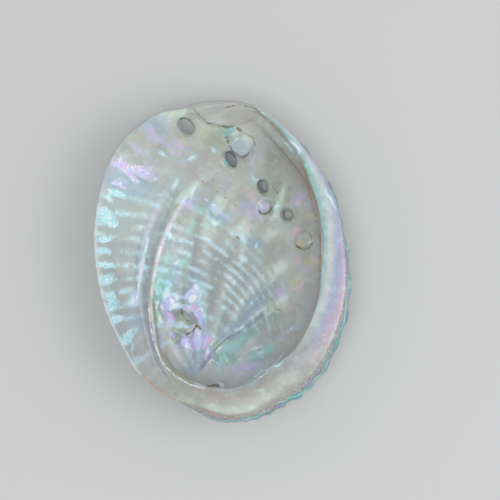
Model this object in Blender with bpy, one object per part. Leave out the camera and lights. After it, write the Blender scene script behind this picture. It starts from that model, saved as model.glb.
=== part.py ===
"""One polished abalone shell, resting on its back with the pearly inside up.

The shell is a closed cube that is wrapped round two meridians: one runs through the thin outer lip,
the other through the flat ledge that the shell carries on its inner side. Every direction round the
shell mixes the two. The relief follows the way that the animal grew: growth lines are older copies of
the lip, shrunk and turned about the apex, and cords are logarithmic spirals that run out of the apex.

Frame: metres, +Z up. The origin is the middle of the bottom of the shell's box. +Y runs along the
shell to its growing end, and +X points to the ledge. Places in the tables are in millimetres, counted
from the middle of the small flat that the shell rests on.
"""

import math

import bmesh
import bpy
import numpy as np
from mathutils import Matrix, Vector

MM = 0.001

# Driving dimensions, in millimetres.
SHELL_LENGTH = 121.0
RIM_HEIGHT = 24.0
RIM_TILT = 2.6
RIM_HIGHEST_AT = -38.0
WALL = 2.1
LIP_THICKNESS = 1.5

# The middle of the shell's box in plan, seen from the rest flat that the other places count from.
BOX_MIDDLE = (-3.3, 10.2)

# How many cells each edge of the cube is cut into.
CELLS = 28

# The rim's distance from the middle of the rest flat every 15 degrees, counter-clockwise from +X, on
# a shell of the length that they were read from.
RIM_RADII_LENGTH = 120.0
RIM_RADII = (
    41.3, 43.9, 48.5, 53.7, 60.9, 68.0, 69.9, 70.8, 67.7, 61.2, 55.7, 51.4,
    49.0, 47.6, 48.4, 48.4, 47.6, 48.9, 47.2, 44.7, 43.3, 41.4, 40.5, 40.5,
)

# A small notch in the rim above the newest hole: degrees, and how far it goes in.
NOTCH_AT = 95.5
NOTCH_SPAN = 2.4
NOTCH_DEPTH = 0.8

# The width of the band between the bowl's inner edge and the rim: (degrees, millimetres).
BAND_WIDTHS = (
    (-165, 13.5), (-142, 10.9), (-125, 8.7), (-104, 10.4), (-78, 11.6), (-52, 10.6), (-30, 9.8),
    (0, 9.2), (24, 8.0), (40, 6.2), (52, 4.2), (62, 2.4), (72, 1.6), (82, 5.0), (95, 18.0),
    (112, 26.5), (135, 26.0), (160, 22.0),
)

# Under the ledge the wall's foot stands at least about this far inside the rim.
FOOT_BAND = 7.5
FOOT_BELOW = 1.4

# The rings of the two meridians, from the middle of the bowl (latitude 0) over the rim (2) to the
# middle of the back (4). The lip's side: shares of the distance to the bowl's edge and of the band
# past it make the radius, and the ring stands this many wall thicknesses above the back.
LIP_SIDE = (
    (0.00, 0.000, 0.000, 1.00),
    (0.22, 0.210, 0.000, 1.00),
    (0.48, 0.440, 0.000, 1.00),
    (0.75, 0.660, 0.000, 1.00),
    (1.00, 0.840, 0.000, 1.00),
    (1.18, 0.930, 0.000, 0.97),
    (1.32, 0.970, 0.000, 0.95),
    (1.42, 0.990, 0.000, 0.93),
    (1.50, 1.000, 0.000, 0.92),
    (1.58, 1.000, 0.080, 0.90),
    (1.75, 1.000, 0.470, 0.80),
    (1.93, 1.000, 0.930, 0.68),
    (2.00, 1.000, 1.000, 0.41),
    (2.07, 0.975, 0.975, 0.00),
    (2.20, 0.930, 0.930, 0.00),
    (2.35, 0.880, 0.880, 0.00),
    (2.68, 0.765, 0.765, 0.00),
    (3.00, 0.645, 0.645, 0.00),
    (3.35, 0.480, 0.480, 0.00),
    (3.65, 0.320, 0.320, 0.00),
    (3.80, 0.200, 0.200, 0.00),
    (4.00, 0.000, 0.000, 0.00),
)

# The ledge's side: shares of the distance to the bowl's edge, of the hollow under the ledge, of the
# ledge's width and of the outer bulge make the radius. The height is a share of the rim's height and
# some millimetres.
LEDGE_SIDE = (
    (0.00, 0.000, 0.00, 0.000, 0.0, 0.000, WALL),
    (0.22, 0.240, 0.00, 0.000, 0.0, 0.000, WALL),
    (0.48, 0.520, 0.00, 0.000, 0.0, 0.020, WALL),
    (0.75, 0.790, 0.00, 0.000, 0.0, 0.095, WALL),
    (1.00, 0.965, 0.20, 0.000, 0.0, 0.270, 1.25),
    (1.18, 1.000, 0.80, 0.000, 0.0, 0.500, 0.65),
    (1.32, 1.000, 1.00, 0.000, 0.0, 0.760, 0.00),
    (1.42, 1.000, 0.55, 0.000, 0.0, 1.000, -1.40),
    (1.50, 1.000, 0.00, -0.010, 0.0, 1.000, 0.05),
    (1.58, 1.000, 0.00, 0.080, 0.0, 1.000, 0.85),
    (1.75, 1.000, 0.00, 0.470, 0.0, 1.000, 1.40),
    (1.93, 1.000, 0.00, 0.930, 0.0, 1.000, 0.95),
    (2.00, 1.000, 0.00, 1.000, 0.0, 1.000, 0.15),
    (2.07, 1.000, 0.00, 1.000, 0.3, 1.000, -1.20),
    (2.20, 1.000, 0.00, 1.000, 0.8, 0.855, 0.00),
    (2.35, 1.000, 0.00, 1.000, 1.0, 0.710, 0.00),
    (2.68, 0.955, 0.00, 0.955, 0.9, 0.420, 0.00),
    (3.00, 0.820, 0.00, 0.820, 0.4, 0.190, 0.00),
    (3.35, 0.600, 0.00, 0.600, 0.0, 0.055, 0.00),
    (3.65, 0.440, 0.00, 0.440, 0.0, 0.012, 0.00),
    (3.80, 0.330, 0.00, 0.330, 0.0, 0.000, 0.00),
    (4.00, 0.000, 0.00, 0.000, 0.0, 0.000, 0.00),
)
# Everything past this latitude is the small worn flat that the shell rests on.
FLAT_FROM = 3.78
FLAT_SHARE = 0.2

# Where the ledge fades in and out round the shell, in degrees.
LEDGE_STARTS = (-158.0, -112.0)
LEDGE_ENDS = (50.0, 80.0)

# How far the outer wall stands out past the rim, and where.
BULGE = 2.0
BULGE_AT = -62.0
BULGE_SPAN = 62.0

# The hollow under the ledge: a share of the band's width, and more where the spire coils under it.
UNDERCUT_SHARE = 0.45
SPIRE_POCKET = 1.6
SPIRE_POCKET_AT = -116.0
SPIRE_POCKET_SPAN = 17.0

# Growth: the apex in plan, how much ln(distance from it) grows with each radian of the spiral, and
# the directions between which the rim is the growing lip.
APEX = (-15.7, -35.5)
PITCH = 0.651
LIP_FROM, LIP_TO = 64.0, 256.0

# The cord that the holes lie on, the keel along it, and the degrees of growth from hole to hole.
HOLE_CORD = -5.61
KEEL_WIDTH = 0.11
KEEL_HEIGHT = 0.7
KNOB_HEIGHT = 0.9
HOLE_STEP = 8.35

# The early whorls' cone on the back, and the seam between them.
SPIRE_RADIUS = 11.0
SPIRE_HEIGHT = 2.2
SEAM_DEPTH = 1.0

# Growth folds of the wall, in degrees of growth, and the deep groove and thin ridge that the last of
# them leaves inside the lip. Past the groove the folds lean across the cords.
FOLD_PERIOD = 11.3
FOLD_HEIGHT = 0.4
FOLD_LEAN = 10.7
FOLD_LEAN_FROM = -4.67
GROOVE_AGE = -15.9
GROOVE_WIDTH = 1.9
GROOVE_DEPTH = 0.85
RIDGE_AGE = -18.3
RIDGE_WIDTH = 1.2
RIDGE_HEIGHT = 0.5

# Lumps on the inner face: (x, y, radius, height). A blister pearl, old holes sealed with nacre and
# a small grain beside the blister.
LUMPS = (
    (-22.0, -8.8, 4.3, 1.9),
    (12.2, 51.4, 4.6, 1.1),
    (17.3, 28.6, 2.7, 0.8),
    (29.3, 13.1, 3.4, 1.3),
    (-26.2, -14.2, 1.7, 0.7),
)

# The open holes: (x, y, width, length, degrees that the long axis turns from +X).
HOLES = (
    (-6.4, 63.4, 4.8, 6.2, 112.0),
    (7.9, 48.4, 3.8, 5.8, 104.0),
    (18.0, 36.7, 3.6, 4.8, 106.0),
    (25.4, 24.4, 3.4, 4.0, 100.0),
)
HOLE_SIDES = 16
PIN_LENGTH = 40.0
PIN_MIDDLE = 12.0


def smooth_step(value, start, end):
    """0 before start, 1 after end, and an even slope in and out between them."""
    share = np.clip((value - start) / (end - start), 0.0, 1.0)
    return share * share * (3.0 - 2.0 * share)


def spline_weights(knots, wanted):
    """Weights that turn values at the knots into a cubic spline's values at the wanted places."""
    count = len(knots)
    gaps = np.diff(knots)
    solve = np.eye(count)
    right = np.zeros((count, count))
    for i in range(1, count - 1):
        solve[i, i - 1 : i + 2] = gaps[i - 1], 2 * (gaps[i - 1] + gaps[i]), gaps[i]
        right[i, i - 1] = 6 / gaps[i - 1]
        right[i, i + 1] = 6 / gaps[i]
        right[i, i] = -right[i, i - 1] - right[i, i + 1]
    bends = np.linalg.solve(solve, right)
    cell = np.clip(np.searchsorted(knots, wanted, side="right") - 1, 0, count - 2)
    gap = gaps[cell]
    past = (wanted - knots[cell]) / gap
    left = 1.0 - past
    weights = (left**3 - left)[:, None] * gap[:, None] ** 2 / 6 * bends[cell]
    weights += (past**3 - past)[:, None] * gap[:, None] ** 2 / 6 * bends[cell + 1]
    rows = np.arange(len(wanted))
    weights[rows, cell] += left
    weights[rows, cell + 1] += past
    return weights


def around(degrees, places, values):
    """A smooth closed curve through values at places, all in degrees, read at degrees."""
    places = np.asarray(places, float)
    knots = np.concatenate([places - 360.0, places, places + 360.0])
    return spline_weights(knots, np.mod(degrees, 360.0)) @ np.tile(values, 3)


def hump(degrees, middle, span):
    """1 in the middle direction, and fading to both sides round the shell."""
    turned = np.mod(degrees - middle + 180.0, 360.0) - 180.0
    return np.exp(-((turned / span) ** 2))


def rim_radius(degrees):
    whole = around(degrees, np.arange(0, 360, 15), RIM_RADII) * SHELL_LENGTH / RIM_RADII_LENGTH
    return whole - NOTCH_DEPTH * hump(degrees, NOTCH_AT, NOTCH_SPAN)


def rim_height(degrees):
    return RIM_HEIGHT + RIM_TILT * np.cos(np.radians(degrees - RIM_HIGHEST_AT))


def ledge_share(degrees):
    """1 where the shell has its flat ledge, 0 along the thin outer lip."""
    turned = np.mod(degrees + 180.0, 360.0) - 180.0
    return smooth_step(turned, *LEDGE_STARTS) * (1.0 - smooth_step(turned, *LEDGE_ENDS))


def dome(share, height):
    """Height of the shell's back under the lip side, at a share of the rim's radius."""
    past = np.clip((share - FLAT_SHARE) / (1.0 - FLAT_SHARE), 0.0, None)
    return height * (1.42 * past**1.75 - 0.42 * past**3.6)


def columns(table):
    """The table's columns, each standing upright so that it meets every direction."""
    return [np.array(column)[:, None] for column in zip(*table)]


def meridians(degrees):
    """Latitudes of the rings, and each ring's radius and height in every direction asked for."""
    rim = rim_radius(degrees)
    top = rim_height(degrees)
    band = around(degrees, *zip(*BAND_WIDTHS))
    edge = rim - band
    ledge = ledge_share(degrees)
    out = BULGE * hump(degrees, BULGE_AT, BULGE_SPAN)
    under = UNDERCUT_SHARE * band + SPIRE_POCKET * hump(degrees, SPIRE_POCKET_AT, SPIRE_POCKET_SPAN)
    latitude, of_edge, of_band, walls = columns(LIP_SIDE)
    lip_r = of_edge * edge + of_band * band
    lip_z = dome(lip_r / rim, top - LIP_THICKNESS) + walls * WALL
    latitude, of_edge, of_under, of_band, of_out, of_top, rise = columns(LEDGE_SIDE)
    foot = rim - (band**4 + FOOT_BAND**4) ** 0.25
    ledge_r = of_edge * np.where(latitude < FOOT_BELOW, foot, edge)
    ledge_r += of_under * under + of_band * band + of_out * out
    ledge_z = of_top * top + rise
    return latitude[:, 0], lip_r + (ledge_r - lip_r) * ledge, lip_z + (ledge_z - lip_z) * ledge


def surface(latitude, degrees):
    """Points of the plain shell, in millimetres, at a latitude (0 inside, 4 under it) and a direction."""
    whole, back = np.unique(np.round(degrees, 6), return_inverse=True)
    latitudes, radii, heights = meridians(whole)
    # The rings are mirrored past both poles, so that the surface is level there.
    first, last = slice(3, 0, -1), slice(-2, -5, -1)
    knots = np.concatenate([-latitudes[first], latitudes, 8.0 - latitudes[last]])
    weights = spline_weights(knots, latitude)
    radii = np.concatenate([-radii[first], radii, -radii[last]])
    heights = np.concatenate([heights[first], heights, heights[last]])
    r = np.einsum("ij,ji->i", weights, radii[:, back.reshape(-1)])
    z = np.einsum("ij,ji->i", weights, heights[:, back.reshape(-1)])
    angle = np.radians(degrees)
    return np.stack([r * np.cos(angle), r * np.sin(angle), z], axis=1)


def spiral(x, y):
    """Distance from the apex, and cord number: it is the same all along one spiral cord."""
    dx, dy = x - APEX[0], y - APEX[1]
    distance = np.maximum(np.hypot(dx, dy), 0.05)
    cord = np.arctan2(dy, dx) - np.log(distance) / PITCH
    return distance, SUTURE + np.mod(cord - SUTURE, 2 * math.pi)


def lip_curve():
    """The lip as ln distance from the apex for each cord number, both ways along the lip."""
    degrees = np.linspace(LIP_FROM, LIP_TO, 97)
    radius = rim_radius(degrees)
    angle = np.radians(degrees)
    dx, dy = radius * np.cos(angle) - APEX[0], radius * np.sin(angle) - APEX[1]
    reach = np.log(np.hypot(dx, dy))
    cords = np.unwrap(np.arctan2(dy, dx)) - reach / PITCH
    return np.maximum.accumulate(cords), reach


LIP_CORDS, LIP_REACH = lip_curve()
SUTURE = float(LIP_CORDS[0])


def growth(x, y):
    """Degrees of growth, 0 at the lip and less at older shell, and the cord number."""
    distance, cord = spiral(x, y)
    return np.degrees((np.log(distance) - np.interp(cord, LIP_CORDS, LIP_REACH)) / PITCH), cord


def bump(value, middle, width):
    """A smooth bump, 1 at its middle."""
    return np.exp(-(((value - middle) / width) ** 2))


def folds(age, cord):
    """How far the growth folds push the wall out of the bowl, from -1 to 1."""
    lean = FOLD_LEAN * (cord - FOLD_LEAN_FROM) * smooth_step(GROOVE_AGE - age, 0.0, 12.0)
    return np.cos(2 * math.pi * (age - GROOVE_AGE + lean) / FOLD_PERIOD)


def lumps(points):
    """How far the inner face stands up into the bowl at its lumps."""
    height = np.zeros(len(points))
    for x, y, radius, rise in LUMPS:
        height += rise * np.exp(-((np.hypot(points[:, 0] - x, points[:, 1] - y) / radius) ** 4))
    return height


def relief(points, latitude):
    """How far each point moves out of the bowl, in millimetres."""
    x, y = points[:, 0], points[:, 1]
    age, cord = growth(x, y)
    distance, _ = spiral(x, y)
    inside = 1.0 - smooth_step(latitude, 1.8, 2.0)
    outside = smooth_step(latitude, 2.02, 2.25)
    ledge = ledge_share(np.degrees(np.arctan2(y, x)))
    bowl = inside * (1.0 - ledge * smooth_step(latitude, 1.0, 1.3))
    back = outside * (1.0 - smooth_step(latitude, 3.4, 3.7))
    growing = smooth_step(distance, 6.0, 30.0)
    ribbed = smooth_step(cord, HOLE_CORD + 0.05, HOLE_CORD + 0.5) * growing
    wave = FOLD_HEIGHT * folds(age, cord)
    height = bowl * ribbed * wave * (1.0 - smooth_step(age, -8.0, -2.0))
    height += bowl * ribbed * GROOVE_DEPTH * bump(age, GROOVE_AGE, GROOVE_WIDTH)
    height -= bowl * ribbed * RIDGE_HEIGHT * bump(age, RIDGE_AGE, RIDGE_WIDTH)
    height -= bowl * lumps(points)
    height += back * growing * wave * 1.2
    # The row of holes stands on a keel, with a knob for each hole that grew shut.
    keel = bump(cord, HOLE_CORD, KEEL_WIDTH) * np.minimum(distance / 90.0, 1.0)
    knobs = 0.5 + 0.5 * np.cos(2 * math.pi * (age - HOLE_AGE) / HOLE_STEP)
    height += back * keel * (KEEL_HEIGHT + KNOB_HEIGHT * knobs)
    # The spire: a low cone of early whorls with a groove between them.
    seam = np.minimum(cord - SUTURE, SUTURE + 2 * math.pi - cord)
    cone = SPIRE_HEIGHT - SEAM_DEPTH * bump(seam, 0.0, 0.5)
    height += outside * bump(distance, 0.0, SPIRE_RADIUS) * cone
    return height


HOLE_AGE = float(growth(np.array([HOLES[0][0]]), np.array([HOLES[0][1]]))[0][0])


def cube_places(mesh):
    """Latitude and direction of each vertex of the cube, ring by ring round its Z axis."""
    co = np.array([v.co[:] for v in mesh.verts])
    flat = np.abs(co[:, :2])
    ring = flat.max(axis=1)
    latitude = np.where(co[:, 2] > 0.999, ring, np.where(co[:, 2] < -0.999, 4.0 - ring, 2.0 - co[:, 2]))
    size = np.maximum(ring, 1e-9)
    across, along = co[:, 0] / size, co[:, 1] / size
    on_x = flat[:, 0] >= flat[:, 1]
    quarter = np.where(on_x, np.where(across > 0, 0.0, 180.0), np.where(along > 0, 90.0, 270.0))
    turn = np.where(on_x, along * across, -across * along)
    return latitude, np.mod(quarter + 45.0 * turn, 360.0)


def wall_normals(latitude, degrees):
    """Unit normals of the plain shell that point out of the wall."""
    step = 0.004
    lower = surface(np.clip(latitude - step, 0.0, 4.0), degrees)
    upper = surface(np.clip(latitude + step, 0.0, 4.0), degrees)
    before = surface(latitude, degrees - 0.2)
    after = surface(latitude, degrees + 0.2)
    normal = np.cross(after - before, upper - lower)
    length = np.linalg.norm(normal, axis=1, keepdims=True)
    normal = -normal / np.maximum(length, 1e-12)
    pole = (latitude < 0.03) | (latitude > 3.97)
    normal[pole] = [0.0, 0.0, 1.0]
    normal[pole & (latitude > 2.0)] = [0.0, 0.0, -1.0]
    return normal


def wrap_shell(mesh):
    """Moves every vertex of the cube onto the shell."""
    latitude, degrees = cube_places(mesh)
    points = surface(latitude, degrees)
    normals = wall_normals(latitude, degrees)
    away = np.where(latitude < 2.0, -1.0, 1.0)[:, None]
    points = points + normals * away * relief(points, latitude)[:, None]
    points[latitude > FLAT_FROM, 2] = 0.0
    points[:, 2] = np.maximum(points[:, 2], 0.0)
    points[:, :2] -= BOX_MIDDLE
    for vert, place in zip(mesh.verts, points * MM):
        vert.co = place


def new_object(name, mesh, material=None):
    data = bpy.data.meshes.new(name)
    mesh.to_mesh(data)
    mesh.free()
    obj = bpy.data.objects.new(name, data)
    bpy.context.scene.collection.objects.link(obj)
    if material:
        data.materials.append(material)
    return obj


def nacre():
    """Polished mother-of-pearl: pale, a little glossy."""
    material = bpy.data.materials.new("nacre")
    material.use_nodes = True
    shader = material.node_tree.nodes["Principled BSDF"]
    shader.inputs["Base Color"].default_value = (0.62, 0.66, 0.61, 1.0)
    shader.inputs["Roughness"].default_value = 0.3
    shader.inputs["Metallic"].default_value = 0.0
    return material


def make_hole_cutter(number, x, y, width, length, turn):
    """An upright oval pin that goes through the wall."""
    mesh = bmesh.new()
    bmesh.ops.create_cone(
        mesh, cap_ends=True, segments=HOLE_SIDES, radius1=0.5, radius2=0.5, depth=1.0
    )
    bmesh.ops.scale(mesh, verts=mesh.verts, vec=Vector((width, length, PIN_LENGTH)) * MM)
    turning = Matrix.Rotation(math.radians(turn - 90.0), 3, "Z")
    bmesh.ops.rotate(mesh, verts=mesh.verts, cent=(0, 0, 0), matrix=turning)
    place = Vector((x - BOX_MIDDLE[0], y - BOX_MIDDLE[1], PIN_MIDDLE)) * MM
    bmesh.ops.translate(mesh, verts=mesh.verts, vec=place)
    cutter = new_object(f"hole_cutter_{number}", mesh)
    cutter.hide_render = True
    cutter.display_type = "WIRE"
    return cutter


def make_shell():
    mesh = bmesh.new()
    bmesh.ops.create_cube(mesh, size=2.0)
    bmesh.ops.subdivide_edges(mesh, edges=mesh.edges, cuts=CELLS - 1, use_grid_fill=True)
    wrap_shell(mesh)
    bmesh.ops.triangulate(mesh, faces=mesh.faces)
    bmesh.ops.recalc_face_normals(mesh, faces=mesh.faces)
    shell = new_object("shell", mesh, nacre())
    for number, hole in enumerate(HOLES, start=1):
        cut = shell.modifiers.new(f"hole_{number}", "BOOLEAN")
        cut.operation = "DIFFERENCE"
        cut.solver = "EXACT"
        cut.object = make_hole_cutter(number, *hole)
    shell.data.shade_smooth()
    return shell


def main():
    for obj in list(bpy.data.objects):
        bpy.data.objects.remove(obj)
    make_shell()


main()
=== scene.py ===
"""An abalone shell, polished down to its nacre and lying on its back, with its floor and light.

The shell is a closed cube that is wrapped round two meridians: one runs through the thin outer lip,
the other through the flat ledge. Its relief and its colours follow the way that the animal grew: growth
lines are older copies of the lip, shrunk and turned about the apex, and cords are logarithmic spirals
that run out of the apex. Places are in millimetres, counted from the middle of the flat that the shell
rests on, with +Y to its growing end and +X to the ledge.
"""

import math

import bmesh
import bpy
import numpy as np
from bpy.props import FloatProperty, FloatVectorProperty, PointerProperty
from mathutils import Matrix, Vector, kdtree
from mathutils.bvhtree import BVHTree


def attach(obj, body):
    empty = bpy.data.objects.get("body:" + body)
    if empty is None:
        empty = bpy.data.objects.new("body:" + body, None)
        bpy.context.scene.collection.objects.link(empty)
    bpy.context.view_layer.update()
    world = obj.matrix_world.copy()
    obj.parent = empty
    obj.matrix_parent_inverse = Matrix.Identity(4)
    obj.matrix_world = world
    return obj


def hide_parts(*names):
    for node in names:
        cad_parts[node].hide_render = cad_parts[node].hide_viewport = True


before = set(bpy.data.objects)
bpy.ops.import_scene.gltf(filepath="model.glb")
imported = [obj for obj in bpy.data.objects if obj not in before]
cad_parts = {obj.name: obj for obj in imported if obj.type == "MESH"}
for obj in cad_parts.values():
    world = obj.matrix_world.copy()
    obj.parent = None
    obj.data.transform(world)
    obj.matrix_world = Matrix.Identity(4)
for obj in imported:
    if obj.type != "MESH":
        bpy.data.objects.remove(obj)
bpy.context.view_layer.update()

bl_info = {
    "name": "Abalone shell",
    "version": (1, 0, 0),
    "blender": (4, 5, 0),
    "location": "View3D > Sidebar > Shell",
    "description": "Makes a polished abalone shell with growth folds, spiral cords and nacre colours",
    "category": "Add Mesh",
}

MM = 0.001

# Driving dimensions, in millimetres.
SHELL_LENGTH = 121.0
RIM_HEIGHT = 24.0
RIM_TILT = 2.6
RIM_HIGHEST_AT = -38.0
WALL = 2.1
LIP_THICKNESS = 1.5

# The middle of the shell's box in plan, seen from the rest flat that the other places count from.
BOX_MIDDLE = (-3.3, 10.2)

# The rim's distance from the middle of the rest flat every 15 degrees, counter-clockwise from +X, on
# a shell of the length that they were read from.
RIM_RADII_LENGTH = 120.0
RIM_RADII = (
    41.3, 43.9, 48.5, 53.7, 60.9, 68.0, 69.9, 70.8, 67.7, 61.2, 55.7, 51.4,
    49.0, 47.6, 48.4, 48.4, 47.6, 48.9, 47.2, 44.7, 43.3, 41.4, 40.5, 40.5,
)

# A small notch in the rim above the newest hole: degrees, and how far it goes in.
NOTCH_AT = 95.5
NOTCH_SPAN = 2.4
NOTCH_DEPTH = 0.8

# The width of the band between the bowl's inner edge and the rim: (degrees, millimetres).
BAND_WIDTHS = (
    (-165, 13.5), (-142, 10.9), (-125, 8.7), (-104, 10.4), (-78, 11.6), (-52, 10.6), (-30, 9.8),
    (0, 9.2), (24, 8.0), (40, 6.2), (52, 4.2), (62, 2.4), (72, 1.6), (82, 5.0), (95, 18.0),
    (112, 26.5), (135, 26.0), (160, 22.0),
)

# Under the ledge the wall's foot stands at least about this far inside the rim.
FOOT_BAND = 7.5
FOOT_BELOW = 1.4

# The rings of the two meridians, from the middle of the bowl (latitude 0) over the rim (2) to the
# middle of the back (4). The lip's side: shares of the distance to the bowl's edge and of the band
# past it make the radius, and the ring stands this many wall thicknesses above the back.
LIP_SIDE = (
    (0.00, 0.000, 0.000, 1.00),
    (0.22, 0.210, 0.000, 1.00),
    (0.48, 0.440, 0.000, 1.00),
    (0.75, 0.660, 0.000, 1.00),
    (1.00, 0.840, 0.000, 1.00),
    (1.18, 0.930, 0.000, 0.97),
    (1.32, 0.970, 0.000, 0.95),
    (1.42, 0.990, 0.000, 0.93),
    (1.50, 1.000, 0.000, 0.92),
    (1.58, 1.000, 0.080, 0.90),
    (1.75, 1.000, 0.470, 0.80),
    (1.93, 1.000, 0.930, 0.68),
    (2.00, 1.000, 1.000, 0.41),
    (2.07, 0.975, 0.975, 0.00),
    (2.20, 0.930, 0.930, 0.00),
    (2.35, 0.880, 0.880, 0.00),
    (2.68, 0.765, 0.765, 0.00),
    (3.00, 0.645, 0.645, 0.00),
    (3.35, 0.480, 0.480, 0.00),
    (3.65, 0.320, 0.320, 0.00),
    (3.80, 0.200, 0.200, 0.00),
    (4.00, 0.000, 0.000, 0.00),
)

# The ledge's side: shares of the distance to the bowl's edge, of the hollow under the ledge, of the
# ledge's width and of the outer bulge make the radius. The height is a share of the rim's height and
# some millimetres.
LEDGE_SIDE = (
    (0.00, 0.000, 0.00, 0.000, 0.0, 0.000, WALL),
    (0.22, 0.240, 0.00, 0.000, 0.0, 0.000, WALL),
    (0.48, 0.520, 0.00, 0.000, 0.0, 0.020, WALL),
    (0.75, 0.790, 0.00, 0.000, 0.0, 0.095, WALL),
    (1.00, 0.965, 0.20, 0.000, 0.0, 0.270, 1.25),
    (1.18, 1.000, 0.80, 0.000, 0.0, 0.500, 0.65),
    (1.32, 1.000, 1.00, 0.000, 0.0, 0.760, 0.00),
    (1.42, 1.000, 0.55, 0.000, 0.0, 1.000, -1.40),
    (1.50, 1.000, 0.00, -0.010, 0.0, 1.000, 0.05),
    (1.58, 1.000, 0.00, 0.080, 0.0, 1.000, 0.85),
    (1.75, 1.000, 0.00, 0.470, 0.0, 1.000, 1.40),
    (1.93, 1.000, 0.00, 0.930, 0.0, 1.000, 0.95),
    (2.00, 1.000, 0.00, 1.000, 0.0, 1.000, 0.15),
    (2.07, 1.000, 0.00, 1.000, 0.3, 1.000, -1.20),
    (2.20, 1.000, 0.00, 1.000, 0.8, 0.855, 0.00),
    (2.35, 1.000, 0.00, 1.000, 1.0, 0.710, 0.00),
    (2.68, 0.955, 0.00, 0.955, 0.9, 0.420, 0.00),
    (3.00, 0.820, 0.00, 0.820, 0.4, 0.190, 0.00),
    (3.35, 0.600, 0.00, 0.600, 0.0, 0.055, 0.00),
    (3.65, 0.440, 0.00, 0.440, 0.0, 0.012, 0.00),
    (3.80, 0.330, 0.00, 0.330, 0.0, 0.000, 0.00),
    (4.00, 0.000, 0.00, 0.000, 0.0, 0.000, 0.00),
)
# Everything past this latitude is the small worn flat that the shell rests on.
FLAT_FROM = 3.78
FLAT_SHARE = 0.2

# Where the ledge fades in and out round the shell, in degrees.
LEDGE_STARTS = (-158.0, -112.0)
LEDGE_ENDS = (50.0, 80.0)

# Latitudes between which one side of the shell gives way to the next in the relief.
WALL_STARTS = (1.0, 1.3)
SHELF_STARTS = (1.5, 1.6)
INSIDE_ENDS = (1.85, 2.0)
OUTSIDE_STARTS = (2.02, 2.25)
BACK_ENDS = (3.4, 3.7)

# Profile of the back under the lip side: how much it flattens towards the rim, and its two powers.
DOME_FLATTENS = 0.42
DOME_POWERS = (1.75, 3.6)

# How far the outer wall stands out past the rim, and where.
BULGE = 2.0
BULGE_AT = -62.0
BULGE_SPAN = 62.0

# The hollow under the ledge: a share of the band's width, and more where the spire coils under it.
UNDERCUT_SHARE = 0.45
SPIRE_POCKET = 1.6
SPIRE_POCKET_AT = -116.0
SPIRE_POCKET_SPAN = 17.0

# Growth: the apex in plan, how much ln(distance from it) grows with each radian of the spiral, and
# the directions between which the rim is the growing lip.
APEX = (-15.7, -35.5)
PITCH = 0.651
LIP_FROM, LIP_TO = 64.0, 256.0

# The cord that the holes lie on, the keel along it, and the degrees of growth from hole to hole.
HOLE_CORD = -5.61
KEEL_WIDTH = 0.11
KEEL_HEIGHT = 0.7
KNOB_HEIGHT = 0.9
HOLE_STEP = 8.35

# The early whorls' cone on the back, and the seam between them.
SPIRE_RADIUS = 11.0
SPIRE_HEIGHT = 2.2
SEAM_DEPTH = 1.0

# Growth folds of the wall, in degrees of growth, and the deep groove and thin ridge that the last of
# them leaves inside the lip. Past the groove the folds lean across the cords.
FOLD_PERIOD = 11.3
FOLD_LEAN = 10.7
FOLD_LEAN_FROM = -4.67
GROOVE_AGE = -15.9
GROOVE_WIDTH = 1.9
GROOVE_DEPTH = 0.85
RIDGE_AGE = -18.3
RIDGE_WIDTH = 1.2
RIDGE_HEIGHT = 0.5

# Lumps on the inner face: (x, y, radius, height). A blister pearl, old holes sealed with nacre and
# a small grain beside the blister.
LUMPS = (
    (-22.0, -8.8, 4.3, 1.9),
    (12.2, 51.4, 4.6, 1.1),
    (17.3, 28.6, 2.7, 0.8),
    (29.3, 13.1, 3.4, 1.3),
    (-26.2, -14.2, 1.7, 0.7),
)

# The open holes: (x, y, width, length, degrees that the long axis turns from +X).
HOLES = (
    (-6.4, 63.4, 4.8, 6.2, 112.0),
    (7.9, 48.4, 3.8, 5.8, 104.0),
    (18.0, 36.7, 3.6, 4.8, 106.0),
    (25.4, 24.4, 3.4, 4.0, 100.0),
)

# How many cells each edge of the cube is cut into.
CELLS = 118

# Cords: spiral ribs, one for each of these millimetres along the lip, that fade out by the apex.
CORD_SPACING = 5.6
CORD_FADE = (10.0, 34.0)

# Distances from the apex between which the back's relief and the growth folds fade in.
APEX_FADE = (6.0, 30.0)

# Nearer than this to the apex every second cord has ended, so that cords keep about the same spacing.
CORDS_HALVE = (26.0, 36.0)

# Layers of growth that show on the back below the ledge, for each unit of latitude.
BACK_LAYERS = 8.0

# Uneven swells that bend the cords and the back's layers and that make the cords patchy: (how much,
# length of a wave in millimetres, seed). The hammered swell of both faces: (length of a wave, seed).
CORDS_WANDER = (0.12, 22.0, 3)
LAYERS_WANDER = (1.5, 15.0, 9)
CORDS_PATCHY = (0.4, 16.0, 4)
INNER_SWELL = (11.0, 5)
OUTER_SWELL = (9.0, 8)

# The growth folds fade out between these degrees of growth.
FOLDS_FADE = (-92.0, -62.0)

# How deep the groove is, for each depth of the solid's groove, which is coarser.
GROOVE_SHARE = 0.55

# Cord numbers between which the groove and the ridge beside it fade in at the growing end, and out.
GROOVE_FADES_IN = (-5.40, -4.85)
GROOVE_FADES_OUT = (-2.3, -1.2)

# A thin plate of nacre that ends in a step below the rim at the growing end: (x, y).
PLATE_EDGE = (
    (-6.0, 67.5), (-1.3, 66.0), (1.3, 62.6), (4.8, 60.8), (9.1, 59.6), (15.7, 59.8), (22.4, 60.6),
)
PLATE_RISE = 0.5

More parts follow.
